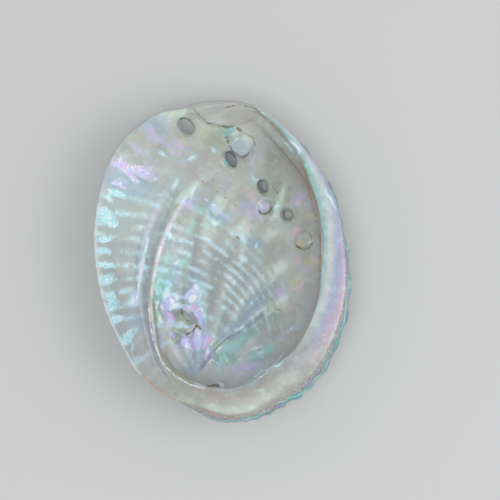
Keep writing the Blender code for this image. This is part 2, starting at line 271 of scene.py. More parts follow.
# Creases in the crumpled nacre by the spire: (height into the bowl, width, places along it).
CREASES = (
    (-0.55, 0.9, ((-18.5, -26.8), (-15.6, -23.9), (-11, -20.5), (-5.3, -17.3), (0.7, -15), (7.6, -12.1))),
    (0.45, 0.7, ((-19.8, -25.8), (-15.2, -21.9), (-10.5, -18.9), (-6.2, -16.7))),
    (0.35, 0.6, ((-17.7, -27.6), (-14.8, -25.6), (-13, -27.4))),
    (0.35, 0.6, ((-9.6, -23.4), (-7.9, -26.2), (-6.9, -28.8))),
    (0.4, 0.8, ((-4.1, -26.2), (0.5, -23.3), (5.3, -22.9))),
    (0.3, 0.7, ((-24, -24.5), (-20.5, -19.9), (-15.6, -16.2))),
    (0.3, 0.6, ((-25.5, -14.2), (-21.9, -15.6), (-17.2, -11.5))),
)

# How far the pins that cut the open holes reach out of the middle of the wall, and how much they widen
# past the holes' rounded edges.
PIN_REACH = 3.5
PIN_SLOPE = 0.3

# Heights in millimetres that are clear of the shell.
ABOVE_SHELL = 60.0
BELOW_SHELL = -5.0

# Brown stains and slits: (half width, places along it).
STAINS = (
    (0.16, ((-3.5, 70), (-1.5, 67), (1.5, 62.7), (5, 61), (9, 59.3), (12, 59.2))),
    (0.1, ((9.2, 66.4), (15, 66.3), (19.2, 64.3), (22.4, 61.6))),
    (0.22, ((12.8, 58.2), (14.5, 56.5), (17.5, 54), (18, 51.5), (17.2, 50.2))),
    (0.42, ((12.8, 58.2), (13.8, 57.2))),
    (0.22, ((8, 54.8), (8.3, 52.8), (9.2, 50.6), (11, 48.7))),
    (0.34, ((11, 48), (13, 47.8), (15, 49))),
    (0.26, ((6.8, 55.9), (8.2, 55.9))),
    (0.18, ((22.5, 34.5), (23.2, 33.2), (24.5, 33.8))),
    (0.3, ((14.5, 28), (15.3, 26.8), (16.8, 26.3), (18.6, 26.7), (19.7, 28.2))),
    (0.14, ((26, 12), (27, 10.3), (28.6, 9.3), (30.5, 9.7), (31.9, 11), (32.5, 12.8), (32, 15))),
    (0.05, ((-4.6, 42.6), (-2, 39.8), (1, 37), (4, 34), (6.4, 31))),
    (0.12, ((13.1, -10.1), (14.3, -11), (15.1, -11.7))),
    (0.26, ((-22.3, -3.4), (-22, -5.6))),
    (0.1, ((-22, -5.6), (-20.8, -8.2), (-20, -9.2))),
    (0.26, ((-22, -13.7), (-19.6, -12.8), (-17.6, -10.8), (-16.4, -12.5))),
    (0.42, ((4.5, 19.8), (5, 19))),
    (0.4, ((-17.6, -34.8), (-15.8, -34.5), (-14.2, -35.1))),
)

# Painted shade: a brown-olive line along the ledge's overhanging inner edge, where shade falls: (half
# width, places along it).
LEDGE_SHADE_LINES = (
    (0.2, ((21, 62.5), (25.5, 56.5), (28.5, 51.5), (31.5, 46), (33.5, 40), (34.5, 33.5))),
    (0.45, ((-32, 1.5), (-32.5, -8), (-33, -16.5), (-31.5, -22), (-28, -28), (-23, -32.5))),
    (0.12, ((34.5, 33.5), (35, 26.5), (35.5, 20), (35, 9.5), (32.5, 0))),
)

# Rust left on the rim where the outer shell was ground away: (half width, places along it).
RUSTS = (
    (1, ((-41, -27), (-36.9, -32.4), (-32.6, -36.6), (-28.2, -40), (-22.5, -43.6), (-17, -46))),
)

# Bright lines where a crease or an edge is turned to the light: (half width, places along it).
GLINTS = (
    (0.1, ((-4, -36), (2.5, -35.5), (8.5, -31.5), (13, -27.5))),
    (0.18, ((-18, -27.5), (-14.5, -24.6), (-13.5, -26), (-11.5, -27.5))),
    (0.16, ((-9.5, -25.5), (-8, -28))),
    (0.14, ((-17, -23), (-15, -20), (-12, -17.6))),
    (0.22, ((-12.6, -22.3), (-9.5, -20), (-7.2, -18.6))),
    (0.2, ((-14, -33.6), (-12.4, -34.6), (-12.2, -35.6))),
    (0.16, ((4, -32), (5.5, -31), (6.2, -29.6))),
    (0.16, ((0, -34.6), (2.5, -34))),
    (0.16, ((15.8, -20.4), (17.6, -19))),
    (0.2, ((-21, -12.6), (-19.6, -11.9), (-18.4, -10.4))),
    (0.12, (
        (-33.5, 2), (-34, -3), (-34.5, -8.5), (-34.5, -13), (-33.5, -19), (-32, -24), (-28.5, -29),
        (-24, -33), (-19, -35.5),
    )),
    (0.12, ((-21.3, -7.4), (-20.4, -7.8))),
    (0.14, ((-17.5, 19.6), (-16.8, 20.8))),
    (0.1, ((-14.5, -4.5), (-13.6, -6.5), (-14.4, -8.6))),
    (0.12, ((-5.2, 36.5), (-2.5, 34), (0.8, 31))),
    (0.34, ((-29.2, 24.8), (-32.4, 17.7), (-34.6, 12.1), (-36.7, 5.6), (-38, 1))),
)

# Patches painted as slanted ovals. The bright ones are painted sheen and highlights where the nacre throws
# back one colour, and the sky ones are painted shade: (x, y, half length, half width, degrees that the long
# axis turns from +X).
PATCHES = {
    "teal": (
        (-1.5, -19.5, 7, 2.8, 20), (3, -26.5, 5.6, 3, 10), (-9.5, -25, 5, 3.2, 10), (-28, 5, 7, 3.4, 70),
        (9, 58, 3, 1.9, 10),
    ),
    "sky": (
        (-22.5, 10, 4.5, 3, 50), (-23.5, -16, 5, 4, 0), (-3.5, -15, 10, 3.6, 20),
        (-20.5, -24.5, 8, 3.6, 60), (-32, -12, 2.6, 6.5, -10), (-17.5, 65.5, 5.5, 4, -10),
        (12, 51, 4.6, 4.2, 0), (-39.5, -5, 5.5, 3, -70), (-3, 31, 7, 3, -50), (-16, 4, 3, 9, -30),
        (11, 16, 5, 2.5, -20), (5.5, -7.5, 8, 3.2, 38), (-33, 47, 13, 6, -33),
    ),
    "moss": (
        (-6, 62.5, 6, 5.4, 0), (3.5, 56, 9, 4.5, -30), (11, 34, 4.5, 3.6, 0), (8, 46, 4.6, 4, 0),
        (18, 35.5, 4.4, 3.8, 0), (25.5, 23.5, 3.6, 3.4, 0), (28, 5.5, 4.6, 3, 70),
        (-29.5, -27, 7.5, 2.2, -55),
    ),
    "blister": ((-22, -8.4, 5, 5.2, 20), (-26.2, -14.6, 1.7, 2.4, 10)),
    "mint": (
        (-28.5, 7.5, 8.5, 2.6, 70), (-25.5, 4.5, 3, 2.4, 60), (-8.5, 33, 2.6, 1.7, -40),
        (-12.5, 27, 4, 1.6, 60), (-23.5, 16, 3.6, 1.6, 60), (-26.5, 12.5, 2.8, 2.6, 50),
        (-29.5, 5.5, 5.2, 2.1, 70), (-31, -2, 3.4, 1.1, -90), (-9.5, -20.5, 3.3, 1.3, 25),
        (-18, 14, 3.6, 1.5, 60),
    ),
    "gold": (
        (-8.5, 58.5, 4.2, 0.9, -30), (32.5, 22, 2.8, 1.3, -30), (16, -11, 2.8, 0.9, 10),
        (27.5, 12, 2.6, 1.6, 50), (31, 4, 2, 3.6, 70), (27, 17, 2.2, 1.4, 20), (12.5, 58, 1.3, 1, -10),
        (23, -2, 3, 2, 60), (-30.5, -12, 1, 9, 10),
    ),
    "rose": (
        (-11, 36, 3.1, 2.5, 50), (-1.5, 31.5, 4.4, 0.8, -50), (-16.5, -7, 5.4, 2.5, -75),
        (-27.5, -6, 2, 2, 0), (-28, -12, 1.2, 0.8, 20), (-3.5, -30.5, 6.6, 2, 0),
        (-10, 57.5, 3.8, 1.8, -10), (-14.5, 56.5, 2.1, 1.2, -40), (-18.5, 60, 2.3, 0.7, -35),
        (30.5, 28.5, 3.2, 2.4, 30), (17, 29, 2.6, 2.1, 0), (16, -5, 2.6, 2, 50), (17, -19, 2.4, 0.9, 25),
        (13.5, -22, 1.8, 1, 20), (27, 2, 2.6, 2, 50), (-22.5, 50, 2.7, 1.7, -45), (-38, 3.5, 4, 1.4, 70),
        (12, 29, 5, 3, -30), (-19.3, 62, 6.5, 1, -38), (-25, 57, 5, 0.9, -38),
    ),
    "lilac_shard": (
        (-22, -16.6, 4.6, 2.6, -16), (-27, -1.5, 2.4, 3.6, -30), (-16.8, 1.5, 2.6, 5, -25),
        (-16, -22.8, 3, 1.6, 50),
    ),
    "rose_shard": (
        (-37.6, 3, 0.8, 2.8, -18), (-17, -16.6, 3.6, 4, 55), (-16.5, -7, 1.8, 6.4, 14),
        (-26.8, -6.2, 1.8, 2.2, -20), (-2.5, -31, 3.4, 0.6, 0), (-26.8, -12.6, 1, 1.6, 30),
        (-12, 36.5, 1.6, 1.2, 50),
    ),
    "mint_shard": ((-31, -3.5, 0.8, 4.6, -6), (-29.8, 5.5, 1.5, 3.4, -16)),
    "glow": (
        (32, 45, 7.5, 0.9, -71), (40.8, 24, 5.5, 0.8, -80), (-14.6, -6, 4.6, 1, -80),
        (-23.5, 1, 3.8, 2, 70), (4.5, -33.4, 10, 0.5, 18), (-26.5, 2.5, 5.2, 1.9, 65),
        (-15.5, 1, 6, 2.9, 60), (-38.5, 2.5, 3, 2.1, 50), (-33.6, 14.6, 10, 1, 71),
        (-13, -35, 1.7, 0.7, -40), (-19, -4, 2.6, 1.2, -60),
    ),
    "gleam": (
        (-9.5, 39.5, 2.6, 0.9, 60), (-2.5, 26.5, 2.2, 0.9, 50), (-21, 25.5, 2.4, 0.9, 60),
        (-0.5, 2, 1.2, 0.8, 30), (4.5, 10.5, 2.2, 0.9, 20), (11, 15, 2, 0.9, 50),
        (6.5, 19, 3.6, 1.3, -50), (-15, 43, 2.4, 1.1, 60), (-6.5, 51.5, 2.6, 0.7, 10),
        (2.5, 53, 1.5, 1, -10), (15.5, 40, 1.9, 0.8, -50), (21.5, 27.5, 1.3, 0.8, 20),
        (-28.5, 25.5, 1.4, 0.8, 50), (-20.5, 14.5, 1.6, 0.8, 30), (-15, -8.5, 2.2, 1, 50),
        (-40.5, 41, 2.4, 0.8, -35), (-17, 55, 2.4, 0.6, -38),
    ),
    "frost": ((-6, -21.5, 6, 1.6, 25), (4, -26, 6, 1.6, 12), (-10.5, -25.5, 3, 1.2, 40)),
    "peach": (
        (30.9, 28.3, 2.4, 1.6, 60), (27, 17.7, 2.6, 1.8, 20), (25.7, 5.6, 2.2, 1.6, 60),
        (31.6, 4.4, 2.4, 1.4, 80), (17.8, -10.9, 3, 1.3, 20), (24.5, -4, 2.4, 1.8, 40),
        (12.5, 34, 4, 2, -30),
    ),
    "spark": (
        (-36.5, 43, 5.6, 1.2, -25), (-43, 35, 4.8, 3.2, -20), (-45, 27, 2.8, 1.4, -10),
        (-46, 22.5, 2.4, 1.3, -10), (-46.5, 17.5, 2.5, 1.3, -5), (-46.5, 12, 2.6, 2.2, 0),
        (-46.5, 3, 2.3, 4, 0), (-46, -3.5, 2.2, 2.4, 10), (-44, -11.5, 3.8, 2.2, 25),
    ),
    "violet": ((-29.5, 51.5, 9, 2.6, -30), (-30, 47.6, 5, 0.9, -35), (-35, 46.5, 3, 0.9, -30)),
}

# Noises that the material reads: (size of a lump in millimetres, detail).
GRAINS = {
    "drift": (38.0, 1.0),
    "clouds": (17.0, 2.0),
    "ripples": (4.5, 2.0),
    "flecks": (1.9, 4.0),
    "specks": (0.9, 2.0),
    "wear": (9.0, 3.0),
}

# Noises that follow the growth: (how often they turn over for each degree of growth and for each
# cord, detail). Streaks run along the cords, and lines run along the lip.
GROWN_GRAINS = {
    "streaks": ((0.08, 1.9, 0.0), 2.0),
    "lines": ((0.75, 0.25, 0.0), 2.0),
}

# Height of the finest relief, widths of the tiny and the large facets, and width of a flake, in
# millimetres.
BUMP_HEIGHT = 0.12
FACET_SIZES = (0.55, 2.4)
FLAKE_SIZE = 5.3

# Coloured layers on the back: for each degree of growth, and below the ledge for each unit of latitude.
LAYERS_GROWN = 0.16
LAYERS_UNDER_LEDGE = 3.0

# How far the edges of the patches are bent, and the length of a wave in them, in millimetres.
EDGES_WANDER = (0.7, 6.0)

# Latitudes between which the values that the material reads fade in or out.
GROUND_STARTS = (1.6, 1.95)
UNDER_LEDGE_STARTS = (0.7, 1.3)
SMOOTH_ENDS = (1.3, 1.5)
LEDGE_EDGE = (1.42, 1.52)
LEDGE_RIM = (1.97, 2.03)
PLATE_ENDS = (1.95, 2.05)

# The pit by the spire is painted paler, a painted light against its shade, within this many millimetres of
# the apex and below these latitudes.
PIT_RADIUS = 24.0
PIT_ENDS = (1.0, 1.45)

# The side of the bowl by the ledge is smooth up to this many cord numbers past the row of holes.
SMOOTH_CORDS = (0.15, 1.1)

# Latitude that the markings end at.
INNER_UNDER = 1.98

# Distance in millimetres that stands for a place that a marking doesn't reach.
FAR_OFF = 50.0

# Latitude of the middle of the speckled layers just under the rim.
RIM_SPECKLE_AT = 2.06

# How much further in the rim is ground at the lower right: latitude, and (direction, half angle).
RIM_GROUND = 0.06
GROUND_AROUND = (-32.0, 50.0)

# The direction that slopes turn towards to shift the nacre's tint, a painted sheen that follows how each
# slope faces: degrees round from -Y, and up.
SHEEN_FROM = (-60.0, 25.0)

# The colours that thin layers throw back, in the order that they follow each other.
SHEEN = {"gold": 0.0, "mint": 0.2, "cyan": 0.36, "white": 0.5, "lilac": 0.66, "rose": 0.84, "cream": 1.0}

# Bright patches of painted sheen, highlights and glints: (middle of their colours in the sheen, how far the
# colours run through it, how much shows, how ragged and how soft the edge is, width in millimetres of the
# facets that they break up into).
FLASHES = {
    "mint": (0.25, 0.16, 0.55, 1.40, 0.60, None),
    "rose": (0.80, 0.24, 0.55, 0.90, 0.48, None),
    "gold": (0.02, 0.30, 0.36, 0.90, 0.46, None),
    "peach": (0.96, 0.14, 0.50, 1.20, 0.46, None),
    "glow": (0.50, 0.20, 0.95, 1.10, 0.42, None),
    "gleam": (0.48, 0.16, 0.80, 1.40, 0.50, None),
    "frost": (0.38, 0.50, 0.55, 1.20, 0.40, 2.4),
    "spark": (0.38, 0.26, 0.90, 1.30, 0.30, 0.55),
    "violet": (0.66, 0.42, 0.95, 1.20, 0.28, 0.55),
    "lilac_shard": (0.60, 0.30, 1.00, 0.70, 0.18, 2.4),
    "rose_shard": (0.68, 0.28, 0.95, 0.80, 0.18, 2.4),
    "mint_shard": (0.30, 0.36, 0.85, 0.60, 0.20, 2.4),
}

# Shaded patches: (how much shows, how ragged and how soft the edge is).
SHADES = {
    "sky": (0.48, 0.35, 0.36), "moss": (0.40, 0.35, 0.36), "teal": (0.65, 0.50, 0.34),
    "blister": (0.85, 0.12, 0.14),
}

# Marks: painted shade in the creases, along the ledge's inner edge and in the holes' throats, real rust and
# stains, and painted glints: (marking, its colour, how much shows, how soft its edge is).
MARK_LOOKS = (
    ("crease", "crease", 0.40, 0.7), ("rust", "rust", 0.75, 0.9), ("gilt", "gilt", 0.55, 0.5),
    ("stain", "stain", 0.8, 0.3), ("glint", "white", 0.9, 0.25), ("throat", "throat", 0.8, 0.2),
)

# Noises that lighten and darken the bowl: (noise, value that it shows on or None, share).
TONE_GRAINS = (
    ("clouds", None, 0.45), ("ripples", None, 0.18), ("specks", None, 0.12),
    ("streaks", "ribbed", 0.30), ("lines", "ribbed", 0.16),
)

# Colour ramps: (place along the ramp, colour).
TONES = ((0.05, "98A09D"), (0.30, "AFB2AF"), (0.50, "BEC0BC"), (0.72, "D7D8D5"), (0.98, "FCFAF9"))
TINTS = (
    (0.0, "808C8E"), (0.2, "78938F"), (0.4, "7B8FA4"), (0.6, "8B86A2"), (0.8, "8C868E"), (1.0, "808C8E"),
)
FLAKES = (
    (0.1, "ABAA98"), (0.3, "CBBAB2"), (0.45, "B0BAA8"), (0.6, "D0BEC4"), (0.75, "B9C0BC"), (0.9, "D0C3A6"),
)
WALL_TONES = ((0.35, "BDBAAA"), (0.65, "AFA793"))
# Across the ledge from its inner edge to the rim; the olive at its inner edge is painted shade where the
# ledge overhangs the bowl.
LEDGE_BONE = (
    (0.0, "A9A78A"), (0.05, "D6D8CA"), (0.14, "AFB29E"), (0.35, "ACA794"), (0.55, "ABAEA2"),
    (0.80, "A7AAA0"), (1.0, "A19F97"),
)
BACK = (
    (0.0, "77A3A4"), (0.16, "82C6BC"), (0.30, "B4D2D2"), (0.44, "62A79D"), (0.56, "8FAEC4"),
    (0.68, "ABA3B8"), (0.80, "868F90"), (0.90, "A9BBAC"), (1.0, "7FA3A4"),
)
RIM_SPECKLE = ((0.34, "8E877D"), (0.46, "A7A19A"), (0.56, "BAB5B0"), (0.68, "D9D8D6"))

# Bands along the lip: the matt band, then painted shade in the groove and painted highlights on the ridge,
# the crest and the margin: (degrees of growth, half width, colour, how much of it shows).
LIP_BANDS = (
    (-6.5, 5.5, "B4B5B1", 0.75),
    (-16.0, 2.3, "979BA0", 0.90),
    (-18.4, 1.1, "F8EBF3", 1.20),
    (-13.6, 1.5, "E8E8F6", 0.65),
    (-0.5, 1.0, "E6EBEE", 0.70),
)

# Bands of older growth than this belong to the groove and fade out with it.
GROOVE_BANDS_FROM = -10.0

# Settings that many nodes share.
PLUS = {"operation": "MULTIPLY_ADD"}
TIMES = {"operation": "MULTIPLY"}
MINUS = {"operation": "SUBTRACT"}
COSINE = {"operation": "COSINE"}
FRACT = {"operation": "FRACT"}
ABSOLUTE = {"operation": "ABSOLUTE"}
RGBA = {"data_type": "RGBA"}
EASED = {"interpolation_type": "SMOOTHSTEP"}

# The floor, the light and the camera, in metres, watts and degrees. The paint's stipple and the place
# that the camera looks at are in millimetres, as the shell's places are.
FLOOR_SIZE = 3.0
STIPPLE_SIZE = 1.5
STIPPLE_HEIGHT = 0.1
WORLD_COLOUR = "F4F6FA"
WORLD_STRENGTH = 0.62
LAMP_DISTANCE = 1.1
# Each lamp: (name, degrees round from -Y, degrees up, size, power, colour).
LAMPS = (
    ("window light", 70.0, 42.0, 0.9, 3.2, "FFFFFF"),
    ("ceiling light", -40.0, 74.0, 0.5, 2.4, "FFFFFF"),
)
CAMERA_TURN = -11.7
CAMERA_HEIGHT = 83.0
CAMERA_DISTANCE = 0.526
CAMERA_LENS = 101.9
CAMERA_TARGET = (7.7, 11.3, 24.0)

# Sizes of the relief that a user may change, in metres: what each is, its default, least and most.
SIZES = {
    "fold_height": ("How far the growth folds rise and fall from the wall", 0.0003, 0.0, 0.002),
    "cord_height": ("How far the spiral cords stand up inside the bowl", 0.00006, 0.0, 0.001),
    "outer_cord_height": ("How far the spiral cords stand out on the back", 0.00035, 0.0, 0.001),
    "swell_height": ("Height of the shallow hammered swell of the nacre", 0.0001, 0.0, 0.001),
    "hole_flare": ("How wide the rounded edge of each open hole is", 0.0007, 0.0002, 0.0015),
}

# Colours that a user may change: what each is for, and its default.
COLOURS = {
    "gold": ("First colour of the sheen: yellow flecks near the ledge", "E6D8A4"),
    "mint": ("Green of the sheen, in the folds", "A9E6D0"),
    "cyan": ("Blue-green of the sheen, along the lip", "AEE4F2"),
    "white": ("White of the sheen, on the brightest crests", "F7FBFF"),
    "lilac": ("Lilac of the sheen, round the bright crests", "BFC3F6"),
    "rose": ("Pink of the sheen, by the spire and the ledge", "F3C3E8"),
    "cream": ("Last colour of the sheen, where it turns to yellow again", "EBDCC4"),
    "sky": ("Blue shade in the folds", "9FB4D3"),
    "moss": ("Green shade round the open holes", "A5B297"),
    "blister": ("Grey-green blister by the spire", "A6AE9F"),
    "plate": ("Chalky plate of nacre at the growing end", "B4B0AC"),
    "teal": ("Blue-green shade in the crumpled nacre", "83B3B3"),
    "crease": ("Blue shadow in the creases", "5F6C8A"),
    "rust": ("Rust-pink outer shell left on the rim", "BE9D8B"),
    # Painted shade: a brown-olive line along the ledge's overhanging inner edge.
    "gilt": ("Brown line along the ledge's inner edge", "9E8F63"),
    "stain": ("Brown stain in slits and round sealed holes", "75623E"),
    # Painted shade: the throat colour darkens the walls of the open holes, where shade falls in them.
    "throat": ("Dirt on the walls of the open holes", "4E4B46"),
    "worn": ("Outer shell that the polish left", "8F8A80"),
    "floor": ("Floor under the shell", "D9D9D6"),
}


def linear(code):
    """Turns an sRGB hex value into linear red, green and blue, and full opacity."""
    shares = [int(code[i : i + 2], 16) / 255 for i in (0, 2, 4)]
    return (*(c / 12.92 if c <= 0.04045 else ((c + 0.055) / 1.055) ** 2.4 for c in shares), 1.0)


def ramp(stops):
    """A colour ramp's stops with their hex values turned linear."""
    return [(place, linear(code)) for place, code in stops]


def smooth_step(value, start, end):
    """0 before start, 1 after end, and an even slope in and out between them."""
    share = np.clip((value - start) / (end - start), 0.0, 1.0)
    return share * share * (3.0 - 2.0 * share)


def spline_weights(knots, wanted):
    """Weights that turn values at the knots into a cubic spline's values at the wanted places."""
    count = len(knots)
    gaps = np.diff(knots)
    solve = np.eye(count)
    right = np.zeros((count, count))
    for i in range(1, count - 1):
        solve[i, i - 1 : i + 2] = gaps[i - 1], 2 * (gaps[i - 1] + gaps[i]), gaps[i]
        right[i, i - 1] = 6 / gaps[i - 1]
        right[i, i + 1] = 6 / gaps[i]
        right[i, i] = -right[i, i - 1] - right[i, i + 1]
    bends = np.linalg.solve(solve, right)
    cell = np.clip(np.searchsorted(knots, wanted, side="right") - 1, 0, count - 2)
    gap = gaps[cell]
    past = (wanted - knots[cell]) / gap
    left = 1.0 - past
    weights = (left**3 - left)[:, None] * gap[:, None] ** 2 / 6 * bends[cell]
    weights += (past**3 - past)[:, None] * gap[:, None] ** 2 / 6 * bends[cell + 1]
    rows = np.arange(len(wanted))
    weights[rows, cell] += left
    weights[rows, cell + 1] += past
    return weights


def around(degrees, places, values):
    """A smooth closed curve through values at places, all in degrees, read at degrees."""
    places = np.asarray(places, float)
    knots = np.concatenate([places - 360.0, places, places + 360.0])
    return spline_weights(knots, np.mod(degrees, 360.0)) @ np.tile(values, 3)


def hump(degrees, middle, span):
    """1 in the middle direction, and fading to both sides round the shell."""
    turned = np.mod(degrees - middle + 180.0, 360.0) - 180.0
    return np.exp(-((turned / span) ** 2))


def rim_radius(degrees):
    whole = around(degrees, np.arange(0, 360, 15), RIM_RADII) * SHELL_LENGTH / RIM_RADII_LENGTH
    return whole - NOTCH_DEPTH * hump(degrees, NOTCH_AT, NOTCH_SPAN)


def rim_height(degrees):
    return RIM_HEIGHT + RIM_TILT * np.cos(np.radians(degrees - RIM_HIGHEST_AT))


def ledge_share(degrees):
    """1 where the shell has its flat ledge, 0 along the thin outer lip."""
    turned = np.mod(degrees + 180.0, 360.0) - 180.0
    return smooth_step(turned, *LEDGE_STARTS) * (1.0 - smooth_step(turned, *LEDGE_ENDS))


def dome(share, height):
    """Height of the shell's back under the lip side, at a share of the rim's radius."""
    past = np.clip((share - FLAT_SHARE) / (1.0 - FLAT_SHARE), 0.0, None)
    rising, flattening = past ** DOME_POWERS[0], past ** DOME_POWERS[1]
    return height * ((1.0 + DOME_FLATTENS) * rising - DOME_FLATTENS * flattening)


def columns(table):
    """The table's columns, each standing upright so that it meets every direction."""
    return [np.array(column)[:, None] for column in zip(*table)]


def meridians(degrees):
    """Latitudes of the rings, and each ring's radius and height in every direction asked for."""
    rim = rim_radius(degrees)
    top = rim_height(degrees)
    band = around(degrees, *zip(*BAND_WIDTHS))
    edge = rim - band
    ledge = ledge_share(degrees)
    out = BULGE * hump(degrees, BULGE_AT, BULGE_SPAN)
    under = UNDERCUT_SHARE * band + SPIRE_POCKET * hump(degrees, SPIRE_POCKET_AT, SPIRE_POCKET_SPAN)
    latitude, of_edge, of_band, walls = columns(LIP_SIDE)
    lip_r = of_edge * edge + of_band * band
    lip_z = dome(lip_r / rim, top - LIP_THICKNESS) + walls * WALL
    latitude, of_edge, of_under, of_band, of_out, of_top, rise = columns(LEDGE_SIDE)
    foot = rim - (band**4 + FOOT_BAND**4) ** 0.25
    ledge_r = of_edge * np.where(latitude < FOOT_BELOW, foot, edge)
    ledge_r += of_under * under + of_band * band + of_out * out
    ledge_z = of_top * top + rise
    return latitude[:, 0], lip_r + (ledge_r - lip_r) * ledge, lip_z + (ledge_z - lip_z) * ledge


def surface(latitude, degrees):
    """Points of the plain shell, in millimetres, at a latitude (0 inside, 4 under it) and a direction."""
    whole, back = np.unique(np.round(degrees, 6), return_inverse=True)
    latitudes, radii, heights = meridians(whole)
    # The rings are mirrored past both poles, so that the surface is level there.
    first, last = slice(3, 0, -1), slice(-2, -5, -1)
    knots = np.concatenate([-latitudes[first], latitudes, 8.0 - latitudes[last]])
    weights = spline_weights(knots, latitude)
    radii = np.concatenate([-radii[first], radii, -radii[last]])
    heights = np.concatenate([heights[first], heights, heights[last]])
    r = np.einsum("ij,ji->i", weights, radii[:, back.reshape(-1)])
    z = np.einsum("ij,ji->i", weights, heights[:, back.reshape(-1)])
    angle = np.radians(degrees)
    return np.stack([r * np.cos(angle), r * np.sin(angle), z], axis=1)


def spiral(x, y):
    """Distance from the apex, and cord number: it is the same all along one spiral cord."""
    dx, dy = x - APEX[0], y - APEX[1]
    distance = np.maximum(np.hypot(dx, dy), 0.05)
    cord = np.arctan2(dy, dx) - np.log(distance) / PITCH
    return distance, SUTURE + np.mod(cord - SUTURE, 2 * math.pi)


def lip_curve():
    """The lip as ln distance from the apex for each cord number, both ways along the lip."""
    degrees = np.linspace(LIP_FROM, LIP_TO, 97)
    radius = rim_radius(degrees)
    angle = np.radians(degrees)
    dx, dy = radius * np.cos(angle) - APEX[0], radius * np.sin(angle) - APEX[1]
    reach = np.log(np.hypot(dx, dy))
    cords = np.unwrap(np.arctan2(dy, dx)) - reach / PITCH
    return np.maximum.accumulate(cords), reach


LIP_CORDS, LIP_REACH = lip_curve()
SUTURE = float(LIP_CORDS[0])


def growth(x, y):
    """Degrees of growth, 0 at the lip and less at older shell, and the cord number."""
    distance, cord = spiral(x, y)
    return np.degrees((np.log(distance) - np.interp(cord, LIP_CORDS, LIP_REACH)) / PITCH), cord


def bump(value, middle, width):
    """A smooth bump, 1 at its middle."""
    return np.exp(-(((value - middle) / width) ** 2))


def fold_turns(age, cord):
    """How many growth folds lie between the groove and this place."""
    lean = FOLD_LEAN * (cord - FOLD_LEAN_FROM) * smooth_step(GROOVE_AGE - age, 0.0, 12.0)
    return (age - GROOVE_AGE + lean) / FOLD_PERIOD


def cube_places(mesh):
    """Latitude and direction of each vertex of the cube, ring by ring round its Z axis."""
    co = np.array([v.co[:] for v in mesh.verts])
    flat = np.abs(co[:, :2])
    ring = flat.max(axis=1)
    latitude = np.where(co[:, 2] > 0.999, ring, np.where(co[:, 2] < -0.999, 4.0 - ring, 2.0 - co[:, 2]))
    size = np.maximum(ring, 1e-9)
    across, along = co[:, 0] / size, co[:, 1] / size
    on_x = flat[:, 0] >= flat[:, 1]
    quarter = np.where(on_x, np.where(across > 0, 0.0, 180.0), np.where(along > 0, 90.0, 270.0))
    turn = np.where(on_x, along * across, -across * along)
    return latitude, np.mod(quarter + 45.0 * turn, 360.0)


def wall_normals(latitude, degrees):
    """Unit normals of the plain shell that point out of the wall."""
    step = 0.004
    lower = surface(np.clip(latitude - step, 0.0, 4.0), degrees)
    upper = surface(np.clip(latitude + step, 0.0, 4.0), degrees)
    before = surface(latitude, degrees - 0.2)
    after = surface(latitude, degrees + 0.2)
    normal = np.cross(after - before, upper - lower)
    length = np.linalg.norm(normal, axis=1, keepdims=True)
    normal = -normal / np.maximum(length, 1e-12)
    pole = (latitude < 0.03) | (latitude > 3.97)
    normal[pole] = [0.0, 0.0, 1.0]
    normal[pole & (latitude > 2.0)] = [0.0, 0.0, -1.0]
    return normal


HOLE_AGE = float(growth(np.array([HOLES[0][0]]), np.array([HOLES[0][1]]))[0][0])


def distance_to_line(x, y, places):
    """Distance in plan from each point to a line through some places."""
    nearest = np.full(len(x), 1000.0)
    for (ax, ay), (bx, by) in zip(places, places[1:]):
        ux, uy = bx - ax, by - ay
        along = np.clip(((x - ax) * ux + (y - ay) * uy) / (ux * ux + uy * uy), 0.0, 1.0)
        nearest = np.minimum(nearest, np.hypot(x - ax - along * ux, y - ay - along * uy))
    return nearest


def cord_count(cord):
    """How many cords lie between the suture and this one, counted along the lip."""
    x = np.exp(LIP_REACH) * np.cos(LIP_CORDS + LIP_REACH / PITCH)
    y = np.exp(LIP_REACH) * np.sin(LIP_CORDS + LIP_REACH / PITCH)
    walked = np.concatenate([[0.0], np.cumsum(np.hypot(np.diff(x), np.diff(y)))])
    return np.interp(cord, LIP_CORDS, walked) / CORD_SPACING


def ripples(points, most, wavelength, seed, count=14):
    """A smooth uneven swell, from about -most to most, made of a few waves in random directions."""
    rng = np.random.default_rng(seed)
    directions = rng.normal(size=(count, 3))
    directions /= np.linalg.norm(directions, axis=1, keepdims=True)
    lengths = wavelength * rng.uniform(0.7, 1.5, count)
    phases = rng.uniform(0.0, 2 * math.pi, count)
    turns = 2 * math.pi * (points @ directions.T) / lengths + phases
    return most * (np.sin(turns).sum(axis=1) / math.sqrt(count))


def plate_share(x, y):
    """1 on the thin plate of nacre under the rim at the growing end, 0 off it."""
    edge_x, edge_y = zip(*PLATE_EDGE)
    past = y - np.interp(x, edge_x, edge_y)
    ends = smooth_step(x, edge_x[0], edge_x[0] + 1.5) * (1.0 - smooth_step(x, 20.0, 25.0))
    return smooth_step(past, -0.3, 0.5) * ends


def groove_share(cord):
    """1 where the groove and the ridge run along the lip, fading out at both of their ends."""
    return smooth_step(cord, *GROOVE_FADES_IN) * (1.0 - smooth_step(cord, *GROOVE_FADES_OUT))


